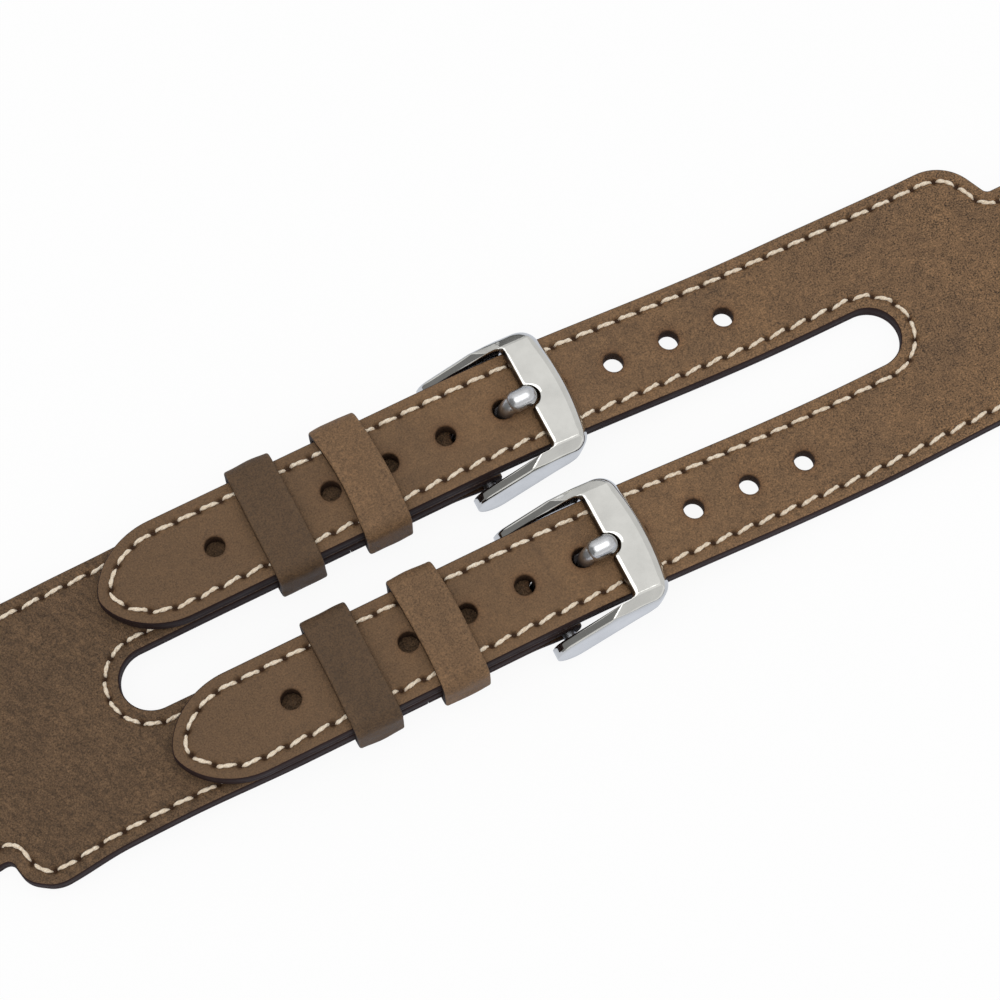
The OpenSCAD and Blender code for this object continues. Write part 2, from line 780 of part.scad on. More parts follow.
long_top_leather();
long_lining();
long_top_thread();
long_under_thread();
short_top_leather();
short_lining();
short_top_thread();
short_under_thread();
keeper_fixed_a();
keeper_fixed_b();
keeper_free_a();
keeper_free_b();
buckle_frame_a();
buckle_frame_b();
tongue_a();
tongue_b();
buckle_bar_a_tube();
buckle_bar_a_tip_far();
buckle_bar_a_tip_near();
buckle_bar_a_spring();
buckle_bar_b_tube();
buckle_bar_b_tip_far();
buckle_bar_b_tip_near();
buckle_bar_b_spring();
lug_bar_long_tube();
lug_bar_long_tip_far();
lug_bar_long_tip_near();
lug_bar_long_spring();
lug_bar_short_tube();
lug_bar_short_tip_far();
lug_bar_short_tip_near();
lug_bar_short_spring();
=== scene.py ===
import math

import bmesh
import bpy
import numpy as np
from mathutils import Matrix, Vector
from mathutils.geometry import delaunay_2d_cdt


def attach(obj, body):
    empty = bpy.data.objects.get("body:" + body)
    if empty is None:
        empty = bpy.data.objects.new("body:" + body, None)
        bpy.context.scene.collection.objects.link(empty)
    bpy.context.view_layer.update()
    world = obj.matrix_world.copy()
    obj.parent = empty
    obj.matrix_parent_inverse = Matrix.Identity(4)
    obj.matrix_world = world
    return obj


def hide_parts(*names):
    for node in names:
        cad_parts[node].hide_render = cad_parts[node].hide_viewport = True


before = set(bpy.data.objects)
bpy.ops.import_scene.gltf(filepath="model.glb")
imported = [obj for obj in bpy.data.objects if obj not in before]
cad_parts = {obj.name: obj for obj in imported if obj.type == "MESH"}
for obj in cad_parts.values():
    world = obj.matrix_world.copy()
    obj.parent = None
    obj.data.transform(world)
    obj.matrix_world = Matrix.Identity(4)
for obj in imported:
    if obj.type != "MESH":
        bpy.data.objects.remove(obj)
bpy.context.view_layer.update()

# Sizes in millimetres, as in the solids. Lengths along the band count from the tongue holes.
MM = 0.001
MID_X = 2.9
STRAP_W = 12.0
SLOT_W = 7.2
TAB_W = 19.6
TAB_LEN = 9.0
LONG_SLOT = 41.4
SHORT_SLOT = 47.2
PAD_LEN = 21.2
TOP_T = 1.3
LINING_T = 1.0
FOLD_T = 0.9
GLUE = 0.02
LAY_GAP = 0.2
RISE = 5.0
CLIMB = 43.0
CLIMB_START = -6.0
FLAP_LEN = 17.0
LUG_FLAP_LEN = 6.0
HOLE_PITCH = 7.0
HOLE_R = 1.15
HOLES_BEFORE = 5
HOLES_AFTER = 4
HOLE_SHIFT = 0.2
FIRST_HOLE_SHIFT = 0.15
TIP_LEN = 8.5
TIP_POINT = 1.25
SEAM_INSET = 1.55
STITCH_PITCH = 2.45
SEAM_END = 4.0
SEAM_REST = 0.3
FAR_OFF = 99
RAMP = 5.0
BAR_BACK = 4.7
SIDE_PLAY = 0.3
FULL_T = TOP_T + LINING_T
YC = (SLOT_W + STRAP_W) / 2
HALF_W = SLOT_W / 2 + STRAP_W
LONG_NOTCH = LONG_SLOT + PAD_LEN
SHORT_NOTCH = SHORT_SLOT + PAD_LEN
LONG_BAR = LONG_NOTCH + TAB_LEN
SHORT_BAR = SHORT_NOTCH + TAB_LEN
LONG_TIP = HOLES_BEFORE * HOLE_PITCH + 13.8
TAIL_TOP = FULL_T + RISE
SHORT_LIFT = RISE - FULL_T - LAY_GAP
SHORT_TOP = FULL_T + SHORT_LIFT
LUG_FOLD_R = 1.85
BUCKLE_FOLD_R = 1.7
BAR_Z = SHORT_TOP - BUCKLE_FOLD_R
LINING_GAP = 0.1
LONG_END = LONG_BAR + math.pi * LUG_FOLD_R + LUG_FLAP_LEN
SHORT_END = SHORT_BAR + math.pi * LUG_FOLD_R + LUG_FLAP_LEN
BUCKLE_TURN = math.pi * BUCKLE_FOLD_R
SHORT_START = BAR_BACK - BUCKLE_TURN - FLAP_LEN
LINED_FROM = BAR_BACK + FLAP_LEN + LINING_GAP
LINED_TO = SHORT_BAR - LUG_FLAP_LEN - LINING_GAP
LONG_LINED_TO = LONG_BAR - LUG_FLAP_LEN - LINING_GAP
HOLED_SEAM_TO = LONG_BAR - SEAM_END - SEAM_REST
BUCKLE_SEAM_TO = SHORT_BAR - SEAM_END - SEAM_REST
RAMP_END = BAR_BACK + RAMP
EYE_REACH = 1.6
EYE_HALF = 1.7

# Shoulders: the corner's radius, the slant in degrees, a shift along the band, the notch's radius
HOLED_SHOULDER = (5.6, 66.0, -0.6, 0.9)
BUCKLE_SHOULDER = (4.4, 79.8, 0.68, 1.4)

# Step lengths of the meshes, and where an outline changes from one to another
FINE = STITCH_PITCH / 18
MEDIUM = 0.3
COARSE = 0.4
PLAIN_END = 8
SHOULDER_ROOM = 5
GRID = 0.75
FOLD_GRID = 0.32


def ease(x, a, b):
    t = np.clip((np.asarray(x, float) - a) / (b - a), 0, 1)
    return (1 - np.cos(np.pi * t)) / 2


def long_low(x):
    return RISE * (1 - ease(x, CLIMB_START, CLIMB_START + CLIMB))


def short_low(u):
    return SHORT_LIFT * (1 - ease(u, SHORT_SLOT + 1, SHORT_BAR + 2))


def lug_swell(v, notch, bar):
    return (2 * LUG_FOLD_R - FULL_T) * ease(v, notch + 1, bar)


def long_waist(x):
    """The pad draws in slightly towards its shoulders."""
    return 1 - 0.02 * ease(x, 34, 54)


def short_waist(u):
    return (1 - 0.018 * ease(u, 36, 50) + 0.03 * ease(u, 57, 65) - 0.012 * ease(u, 66, 68.9)
            + 0.115 * ease(u, 66.7, 70.76) * (1 - ease(u, 71, 75)))


def long_high(x):
    return long_low(x) + FULL_T + lug_swell(x, LONG_NOTCH, LONG_BAR)


def short_high(u):
    return short_low(u) + FULL_T + lug_swell(u, SHORT_NOTCH, SHORT_BAR)


# Outlines

def bow(centre, r, start, stop, count):
    """Points on part of a circle, from one angle in degrees to another."""
    a = np.radians(np.linspace(start, stop, count))
    return np.stack([centre[0] + r * np.cos(a), centre[1] + r * np.sin(a)], 1)


def chain(parts):
    """Joins bows and points; a whole number is a straight run with that many steps."""
    rows = []
    for k, part in enumerate(parts):
        if isinstance(part, int):
            a, b = np.atleast_2d(parts[k - 1])[-1], np.atleast_2d(parts[k + 1])[0]
            t = (np.arange(1, part) / part)[:, None]
            rows.append(a + (b - a) * t)
        else:
            rows.append(np.atleast_2d(part))
    return np.concatenate(rows)


def steps(length, size=FINE):
    return max(2, int(round(length / size)))


def slot_end(at, i):
    return bow((at, 0), SLOT_W / 2 + i, 0, 90, 42)


def shoulder(notch, form, i, end):
    """The rounded shoulder, the notch and the tab, as a list for chain."""
    r, lean, shift, r_in = form
    tab_steps = steps(end - notch, MEDIUM)
    notch = notch + shift
    nx, ny = math.sin(math.radians(lean)), math.cos(math.radians(lean))
    cy = HALF_W - r
    cx = notch - (r - ny * (TAB_W / 2 - cy)) / nx
    fx = cx + (r + r_in - ny * (TAB_W / 2 + r_in - cy)) / nx
    return [
        bow((cx, cy), r - i, 90, 90 - lean, 36), steps(3),
        bow((fx, TAB_W / 2 + r_in), r_in + i, 270 - lean, 270, 9), tab_steps,
        (end - i, TAB_W / 2 - i), steps(TAB_W / 2, COARSE), (end - i, 0)]


def holed_side(i, end):
    """Upper half of the holed half's outline, i inside the edge, from the slot to the tab."""
    tip_x = TIP_LEN - LONG_TIP
    a = np.radians(np.linspace(270, 90, 200))
    across = np.sign(np.sin(a)) * np.abs(np.sin(a)) ** TIP_POINT
    tip = np.stack([tip_x + (TIP_LEN - i) * np.cos(a), YC + (STRAP_W / 2 - i) * across], 1)
    return chain([
        slot_end(LONG_SLOT, i), steps(LONG_SLOT - tip_x),
        tip, steps(LONG_NOTCH - SHOULDER_ROOM - tip_x),
        *shoulder(LONG_NOTCH, HOLED_SHOULDER, i, end)])


def buckle_side(i):
    """Upper half of the buckle half's outline, from the slot by way of a strap's end to the tab."""
    flap_steps = steps(PLAIN_END - SHORT_START, MEDIUM)
    return chain([
        slot_end(SHORT_SLOT, i),
        steps(SHORT_SLOT - PLAIN_END), (PLAIN_END, SLOT_W / 2 + i),
        flap_steps, (SHORT_START + i, SLOT_W / 2 + i), 30, (SHORT_START + i, HALF_W - i),
        flap_steps, (PLAIN_END, HALF_W - i),
        steps(SHORT_NOTCH - PLAIN_END - SHOULDER_ROOM),
        *shoulder(SHORT_NOTCH, BUCKLE_SHOULDER, i, SHORT_END)])


def lined_side(i):
    """Upper half of the outline of the buckle half's lining."""
    return chain([
        slot_end(SHORT_SLOT, i),
        steps(SHORT_SLOT - LINED_FROM), (LINED_FROM + i, SLOT_W / 2 + i), 30,
        (LINED_FROM + i, HALF_W - i), steps(SHORT_NOTCH - LINED_FROM - SHOULDER_ROOM),
        *shoulder(SHORT_NOTCH, BUCKLE_SHOULDER, i, LINED_TO)])


def whole_loop(side):
    """A whole outline from its upper half."""
    return np.concatenate([side, side[-2:0:-1] * [1, -1]])


def mirrored(values):
    return np.concatenate([values, values[-2:0:-1]])


def run_length(points):
    gaps = np.linalg.norm(np.diff(points, axis=0), axis=1)
    return np.concatenate([[0], np.cumsum(gaps)])


def pace(run, rows):
    """The run, stretched so that a stitch is always STITCH_PITCH of it.

    rows are pairs of a run and the real length of a stitch there."""
    rate = STITCH_PITCH / np.interp(run, *zip(*rows))
    step = np.diff(run) * (rate[1:] + rate[:-1]) / 2
    return np.concatenate([[0], np.cumsum(step)])


def inside(points, loop):
    """True for each point that lies inside the loop."""
    hit = np.zeros(len(points), bool)
    a, b = loop, np.roll(loop, -1, 0)
    flat = a[:, 1] != b[:, 1]
    a, b = a[flat], b[flat]
    for k in range(0, len(points), 400):
        x, y = points[k:k + 400, :1], points[k:k + 400, 1:]
        cross = (a[:, 1] > y) != (b[:, 1] > y)
        at = a[:, 0] + (y - a[:, 1]) * (b[:, 0] - a[:, 0]) / (b[:, 1] - a[:, 1])
        hit[k:k + 400] = (np.sum(cross & (x < at), 1) % 2).astype(bool)
    return hit


# Meshes

def between(a, b, count):
    """Quads between two closed rows of points that start at a and b."""
    c = np.arange(count)
    d = (c + 1) % count
    return np.stack([a + c, a + d, b + d, b + c], 1)


def ring_faces(first, rows, count):
    """Quads between closed rows of points that follow each other in the list."""
    starts = first + np.arange(rows) * count
    return np.concatenate([between(a, b, count) for a, b in zip(starts, starts[1:])])


def hoop_faces(rows, count):
    """Quads of a hoop, whose last row meets its first."""
    return np.concatenate([ring_faces(0, rows, count), between((rows - 1) * count, 0, count)])


def bar_faces(first, rows, count):
    """Faces of a bar: the quads along it and a cap at each end."""
    last = first + (rows - 1) * count
    return [*ring_faces(first, rows, count).tolist(), list(range(first, first + count)),
            list(range(last, last + count))]


def full_turn(count):
    return np.linspace(0, 2 * np.pi, count, endpoint=False)


def unit(rows):
    return rows / np.linalg.norm(rows, axis=1)[:, None]


def show(name, data):
    """A new object in the scene."""
    obj = bpy.data.objects.new(name, data)
    bpy.context.scene.collection.objects.link(obj)
    return obj


def new_piece(name, points, faces, body, replaces, materials, marks=None, paint=None,
              sharp=0):
    """A mesh piece from millimetre points that rides on a body and stands for CAD nodes.

    marks are values at each point, paint is each face's material, and edges over sharp degrees
    stay hard."""
    mesh = bpy.data.meshes.new(name)
    pts = np.asarray(points, float).copy()
    pts[:, 0] += MID_X
    mesh.from_pydata((pts * MM).tolist(), [], [list(map(int, f)) for f in faces])
    for m in materials:
        mesh.materials.append(m)
    if paint is not None:
        mesh.polygons.foreach_set("material_index", np.asarray(paint, np.int32))
    for key, values in (marks or {}).items():
        layer = mesh.attributes.new(key, "FLOAT", "POINT")
        layer.data.foreach_set("value", np.asarray(values, np.float32))
    work = bmesh.new()
    work.from_mesh(mesh)
    bmesh.ops.recalc_face_normals(work, faces=work.faces)
    work.to_mesh(mesh)
    work.free()
    mesh.shade_smooth()
    if sharp:
        mesh.set_sharp_from_angle(angle=math.radians(sharp))
    piece = show(name, mesh)
    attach(piece, body)
    if replaces:
        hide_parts(*replaces)


def waves(p, size, seed):
    """Smooth irregular waves between about -1 and 1, from a few slanted sines."""
    total = np.zeros(len(p))
    for k in range(5):
        a = seed * 1.7 + k * 2.4
        f = (1 + 0.37 * k) / size
        along = p[:, 0] * math.cos(a) + p[:, 1] * math.sin(a)
        total += np.sin(6.283 * f * along + seed * 3.1 + k)
    return total / 3


# Leather sheets

EDGE_R = 0.3
INSETS = np.array([0, 0.02, 0.06, 0.12, 0.2, 0.3, 0.42, 0.6, 0.8, 0.95, 1.08, 1.18, 1.27, 1.36,
                   1.45, 1.55, 1.65, 1.74, 1.83, 1.92, 2.02, 2.15, 2.35, 2.6])
PAINTED_RINGS = 3
RIM_R = 0.2
RIMS = np.array([0, 0.03, 0.08, 0.15, 0.26, 0.42, 0.65, 0.95, 1.3])


def round_over(d, r):
    d = np.minimum(d, r)
    return r - np.sqrt(np.maximum(r * r - (r - d) ** 2, 0))


def seam_marks(run, live, hand, d):
    """Depth of the pressed seam and of the needle slits at distance d from the edge, and the slits'
    mask, by which the leather paints shade in the slits.
    """
    b = d - SEAM_INSET
    a = (run + STITCH_PITCH / 2) % STITCH_PITCH - STITCH_PITCH / 2
    along, across = math.cos(math.radians(58)), math.sin(math.radians(58)) * hand
    u, v = a * along - b * across, a * across + b * along
    slit = np.exp(-(u / 0.4) ** 2 - (v / 0.32) ** 2)
    press = np.exp(-(b / 0.42) ** 2) * (0.08 + 0.14 * np.exp(-(a / 0.5) ** 2))
    swell = 0.05 * np.exp(-((d - 0.85) / 0.4) ** 2) * (1 - np.exp(-(a / 0.6) ** 2))
    return live * (press - swell + 0.36 * slit), live * slit


def sheet(name, side, seam_run, live, holes, rows, surface, thick, node, hide, seed, hand=1):
    """A closed sheet of leather: shaped outline, pressed seam, punched holes and painted walls."""
    points, marks, faces, paint = [], {"rub": [], "slit": [], "ring": []}, [], []

    def add(flat, h, rub=0.0, slit=0.0, ring=0.0):
        first = sum(map(len, points))
        points.append(surface(flat[:, 0], flat[:, 1], h))
        for key, value in zip(("rub", "slit", "ring"), (rub, slit, ring)):
            marks[key].append(np.broadcast_to(value, len(flat)))
        return first

    def cover(made, material):
        faces.extend(made)
        paint.extend([material] * len(made))

    half = len(side(0))
    hand = np.concatenate([-np.ones(half), np.ones(half - 2)]) * hand
    run, on = mirrored(seam_run), mirrored(live)
    count = len(run)
    loops = [whole_loop(side(i)) for i in INSETS]
    soft = lambda flat: 0.035 * waves(flat, 11, seed) + 0.012 * waves(flat, 3.1, seed + 2)
    for d, flat in zip(INSETS, loops):
        dip, slit = seam_marks(run, on, hand, d)
        h = -round_over(d, EDGE_R) - dip + soft(flat) * min(1, d / 0.5)
        inner_loop = add(flat, h, slit=slit, rub=math.exp(-d / 0.5)
                         + 0.35 * math.exp(-((d - SEAM_INSET) / 0.5) ** 2))
    cover(ring_faces(0, PAINTED_RINGS + 1, count), 1)
    cover(ring_faces(PAINTED_RINGS * count, len(INSETS) - PAINTED_RINGS, count), 0)

    # Holes: rings round each one on top, a wall, and rings below
    rings = []
    for hole in holes:
        starts = []
        for r in RIMS:
            flat = hole(r)
            h = -round_over(r, RIM_R) - 0.05 * math.exp(-r / 0.5) + soft(flat)
            starts.append(add(flat, h, ring=math.exp(-r / 0.42), rub=0.6 * math.exp(-r / 0.1)))
        cover(ring_faces(starts[0], len(RIMS), len(flat)), 0)
        rings.append((starts[0], starts[-1]))

    # Middle of the sheet
    margin = inside(rows, whole_loop(side(INSETS[-1] + 0.3)))
    for hole in holes:
        margin &= ~inside(rows, hole(RIMS[-1] + 0.3))
    grid = rows[margin]
    fill(cover, loops[-1], inner_loop,
         [(hole(RIMS[-1]), outer) for hole, (_, outer) in zip(holes, rings)],
         grid, add(grid, soft(grid)), 0)

    # Walls and the hidden face
    depth = thick(loops[0][:, 0])
    walls = [0]
    for t, out in ((0.25, 0.02), (0.5, 0.03), (0.75, 0.02), (1.0, 0.0)):
        bulged = whole_loop(side(-out))
        walls.append(add(bulged, -EDGE_R - (depth - EDGE_R) * t, rub=0.3))
    for a, b in zip(walls, walls[1:]):
        cover(between(a, b, count), 1)
    under_holes = []
    for hole, (rim, _) in zip(holes, rings):
        flat = hole(0.0)
        low = add(flat, -thick(flat[:, 0]), ring=1.0)
        cover(between(rim, low, len(flat)), 2)
        under_holes.append((flat, low))
    sparse = rows[::3]
    keep = inside(sparse, whole_loop(side(0.5)))
    for hole in holes:
        keep &= ~inside(sparse, hole(0.4))
    grid = sparse[keep]
    fill(cover, loops[0], walls[-1], under_holes, grid, add(grid, -thick(grid[:, 0])), 2)

    new_piece(name, np.concatenate(points), faces, "band", [node],
              [hide, PAINTED_EDGE, FLESH], {k: np.concatenate(v) for k, v in marks.items()},
              paint, sharp=50)


def fill(cover, outer, outer_first, holes, grid, grid_first, material):
    """Triangles between an outer loop, the loops of the holes and the points of a grid."""
    loops = [(outer, outer_first), *holes]
    edges, base = [], 0
    for loop, _ in loops:
        n = len(loop)
        edges += [(base + k, base + (k + 1) % n) for k in range(n)]
        base += n
    loops.append((grid, grid_first))
    flat = np.concatenate([loop for loop, _ in loops])
    ids = np.concatenate([np.arange(len(loop)) + first for loop, first in loops])
    _, _, tris, origin, _, _ = delaunay_2d_cdt(
        [Vector(p) for p in flat.tolist()], edges, [], 0, 1e-6, True)
    back = np.array([o[0] if o else -1 for o in origin])
    tris = np.array([t for t in tris if len(t) == 3])
    tris = back[tris]
    tris = tris[(tris >= 0).all(1)]
    middle = flat[tris].mean(1)
    keep = inside(middle, outer)
    for loop, _ in holes:
        keep &= ~inside(middle, loop)
    cover(ids[tris[keep]], material)


def punched(x, y):
    return lambda r: bow((x, y), HOLE_R + r, 0, 352.5, 48)


def window(near, far, y, half):
    """A round-ended opening along the strap, for the tongue's eye."""
    def loop(r):
        a = bow((far - half, y), half + r, 90, -90, 12)
        b = bow((near + half, y), half + r, 270, 90, 12)
        return chain([a, 24, b, 24, a[:1]])[:-1]
    return loop


def spread(lo, hi, fold_spans=()):
    """Grid points over a sheet, closer together where it folds."""
    s, row, out = lo, 0, []
    while s < hi:
        tight = any(a <= s <= b for a, b in fold_spans)
        step = FOLD_GRID if tight else GRID
        y = np.arange(-HALF_W, HALF_W, GRID) + (row % 2) * GRID / 2
        out.append(np.stack([np.full(len(y), s), y], 1))
        s, row = s + step, row + 1
    return np.concatenate(out)


def lug_fold(v, h, bar):
    """Place and height of the leather where it goes round a lug bar and back below."""
    turn = np.clip((v - bar) / LUG_FOLD_R, 0, np.pi)
    past = np.maximum(v - bar - np.pi * LUG_FOLD_R, 0)
    return (bar + (LUG_FOLD_R + h) * np.sin(turn) - past,
            LUG_FOLD_R + (LUG_FOLD_R + h) * np.cos(turn))


# Holed half
def holed_surface(s, y, h):
    x, z = lug_fold(s, h, LONG_BAR)
    x = np.where(s < LONG_BAR, s, x)
    z = np.where(s < LONG_BAR, long_high(s) + h, z)
    return np.stack([x, y * long_waist(s), z], 1)


def lug_thick(body_thick, s, bar):
    return body_thick + (FOLD_T - body_thick) * ease(s, bar - 3, bar - 0.9)


def holed_thick(s):
    return lug_thick(long_high(s) - long_low(s) - LINING_T - GLUE, s, LONG_BAR)


# Buckle half, in u, which counts from the tongue holes towards its own lug end
def buckle_surface(u, y, h):
    turn = np.clip((BAR_BACK - u) / BUCKLE_FOLD_R, 0, np.pi)
    past = np.maximum(BAR_BACK - BUCKLE_TURN - u, 0)
    flap_z = BAR_Z - BUCKLE_FOLD_R + (SHORT_LIFT - BAR_Z + BUCKLE_FOLD_R) * ease(past, -0.5, RAMP)
    x = BAR_BACK - (BUCKLE_FOLD_R + h) * np.sin(turn) + past
    z = BAR_Z + (BUCKLE_FOLD_R + h) * np.cos(turn)
    z = np.where(past > 0, flap_z - h, z)
    lug_x, lug_z = lug_fold(u, h, SHORT_BAR)
    flat = (u >= BAR_BACK) & (u <= SHORT_BAR)
    x = np.where(flat, u, np.where(u > SHORT_BAR, lug_x, x))
    z = np.where(flat, short_high(u) + h, np.where(u > SHORT_BAR, lug_z, z))
    return np.stack([-x, y * short_waist(u), z], 1)


def buckle_thick(u):
    body_thick = short_high(u) - short_low(u) - LINING_T - GLUE
    out = lug_thick(body_thick, u, SHORT_BAR)
    return FOLD_T + (out - FOLD_T) * ease(u, BAR_BACK + 0.5, RAMP_END)


def lining_thick(s):
    return np.full(np.shape(s), LINING_T)


def long_lining_surface(s, y, h):
    return np.stack([s, y * long_waist(s), long_low(s) - np.minimum(h, 0)], 1)


def short_lining_surface(u, y, h):
    return np.stack([-u, y * short_waist(u), short_low(u) - np.minimum(h, 0)], 1)


# Materials

def linear(colour):
    """A shader's colour from a screen's, whose red, green and blue go from 0 to 255."""
    out = []
    for v in colour:
        v = v / 255
        out.append(v / 12.92 if v <= 0.04045 else ((v + 0.055) / 1.055) ** 2.4)
    return (*out, 1.0)


class Nodes:
    """Short calls for adding and joining shader nodes."""

    def __init__(self, tree):
        self.tree = tree

    def put(self, value, socket):
        """Joins a node's output to the socket, or sets the socket's value."""
        if isinstance(value, bpy.types.NodeSocket):
            self.join(value, socket)
        else:
            socket.default_value = value

    def add(self, kind, inputs=None, **values):
        """A new node. A value goes to the setting or else to the input of that name."""
        node = self.tree.nodes.new(kind)
        for key, value in values.items():
            if hasattr(node, key):
                setattr(node, key, value)
            else:
                self.put(value, node.inputs[key.replace("_", " ")])
        for key, value in (inputs or {}).items():
            self.put(value, node.inputs[key])
        return node

    def place(self, tree, **values):
        """Puts a node group in the material, and gives its outputs."""
        return self.add("ShaderNodeGroup", node_tree=tree, **values).outputs

    def noise(self, at, **values):
        return self.add("ShaderNodeTexNoise", Vector=at, **values).outputs[0]

    def calc(self, operation, a, b, clamp=False):
        return self.add("ShaderNodeMath", {0: a, 1: b}, operation=operation,
                        use_clamp=clamp).outputs[0]

    def times(self, a, b, clamp=False):
        return self.calc("MULTIPLY", a, b, clamp)

    def mix(self, amount, a, b, blend="MIX"):
        """Mixes two colours. One with three numbers is a screen's colour."""
        a, b = (linear(c) if isinstance(c, tuple) and len(c) == 3 else c for c in (a, b))
        return self.add("ShaderNodeMix", {0: amount, 6: a, 7: b}, data_type="RGBA",
                        blend_type=blend).outputs[2]

    def span(self, value, lo, hi, to_lo=0.0, to_hi=1.0):
        ends = dict(enumerate((value, lo, hi, to_lo, to_hi)))
        return self.add("ShaderNodeMapRange", ends).outputs[0]

    def join(self, source, socket):
        self.tree.links.new(source, socket)

    def mark(self, name):
        """A value that the mesh carries at each point, such as rub or slit."""
        return self.add("ShaderNodeAttribute", attribute_name=name).outputs["Fac"]

    def dress(self, shader, colour, rough, height, strength, distance):
        """Joins a colour, a roughness and a bump to the material's shader."""
        self.join(colour, shader.inputs["Base Color"])
        if rough:
            self.join(rough, shader.inputs["Roughness"])
        bump = self.add("ShaderNodeBump", Height=height, Strength=strength, Distance=distance)
        self.join(bump.outputs[0], shader.inputs["Normal"])

    def seen(self, rays):
        """1 for rays from the camera and for those in gloss and glass, else 0."""
        direct = self.calc("MAXIMUM", rays["Is Camera Ray"], rays["Is Glossy Ray"])
        return self.calc("MAXIMUM", direct, rays["Is Transmission Ray"])


def group(name, inputs, outputs, build):
    """A node group with vector inputs, given with their values, and number outputs."""
    tree = bpy.data.node_groups.new(name, "ShaderNodeTree")
    for label, value in inputs.items():
        socket = tree.interface.new_socket(name=label, in_out="INPUT",
                                           socket_type="NodeSocketVector")
        if value is not None:
            socket.default_value = value
    for label in outputs:
        tree.interface.new_socket(name=label, in_out="OUTPUT", socket_type="NodeSocketFloat")
    n = Nodes(tree)
    into = tree.nodes.new("NodeGroupInput")
    out = tree.nodes.new("NodeGroupOutput")
    for label, source in build(n, into.outputs).items():
        n.join(source, out.inputs[label])
    return tree


def build_clouds(n, io):
    """Oil marks: broad and small patches of lighter and darker hide, stretched along one way."""
    at = n.add("ShaderNodeVectorMath", {0: io["Place"], 1: io["Stretch"]},
               operation="MULTIPLY").outputs[0]
    broad = n.noise(at, Scale=95.0, Detail=3.0, Roughness=0.55, Distortion=0.4)
    small = n.noise(at, Scale=420.0, Detail=3.0, Roughness=0.6, Distortion=0.6)
    both = n.calc("ADD", n.times(broad, 0.78), n.times(small, 0.22))
    return {"Patches": n.span(both, 0.32, 0.68), "Small patches": n.span(small, 0.3, 0.7)}


def build_grain(n, io):
    """Fine hide grain: pores, tiny creases and a dusty fleck."""
    at = io["Place"]
    crease = n.add("ShaderNodeTexVoronoi", Vector=at, feature="DISTANCE_TO_EDGE",
                   Scale=2600.0).outputs[0]
    fleck = n.noise(at, Scale=5200.0, Detail=2.0, Roughness=0.7)
    nap = n.noise(at, Scale=1500.0, Detail=3.0, Roughness=0.65)
    height = n.calc("ADD", n.times(n.span(crease, 0.0, 0.12), 0.35),
                   n.calc("ADD", n.times(fleck, 0.45), n.times(nap, 0.6)))
    colour = n.calc("ADD", n.times(fleck, 0.75), n.times(nap, 0.25))
    return {"Height": height, "Fleck": n.span(colour, 0.34, 0.66)}


def build_dust(n, io):
    """Fine marks and smears on metal."""
    smear = n.noise(io["Place"], Scale=260.0, Detail=4.0, Roughness=0.6)
    fine = n.noise(io["Place"], Scale=2400.0, Detail=2.0)
    return {"Smear": n.span(smear, 0.35, 0.7), "Fine": fine}


CLOUDS = group("Oil marks", {"Place": None, "Stretch": (1, 1, 1)}, ["Patches", "Small patches"],
               build_clouds)
GRAIN = group("Hide grain", {"Place": None}, ["Height", "Fleck"], build_grain)
DUST = group("Smears", {"Place": None}, ["Smear", "Fine"], build_dust)


def blank(name, **values):
    """A new material, its node helper, its shader, and the place on the object."""
    material = bpy.data.materials.new(name)
    material.use_nodes = True
    n = Nodes(material.node_tree)
    shader = material.node_tree.nodes["Principled BSDF"]
    for key, value in values.items():
        shader.inputs[key.replace("_", " ")].default_value = value
    at = n.add("ShaderNodeTexCoord").outputs["Object"]
    return material, n, shader, at


SCORCHED = (104, 68, 38)
# Painted shade where a hole's rim rolls down into the hole
HOLE_RIM_SHADE = (50, 34, 22)
# Painted shade inside the needle slits
SLIT_SHADE = (60, 39, 23)
CUT_DARK = (48, 32, 22)
CUT_PALE = (84, 60, 42)
# Painted shade: brown-grey for steel in shade that reflects shaded leather
SHADE_BROWN = (58, 46, 37)


def overlay(n, amount, colour, fac, depth):
    """Makes the colour darker and lighter by depth, as fac goes from 0 to 1."""
    low, high = 0.5 - depth, 0.5 + depth
    return n.mix(amount, colour, n.mix(fac, (low, low, low, 1), (high, high, high, 1)), "OVERLAY")


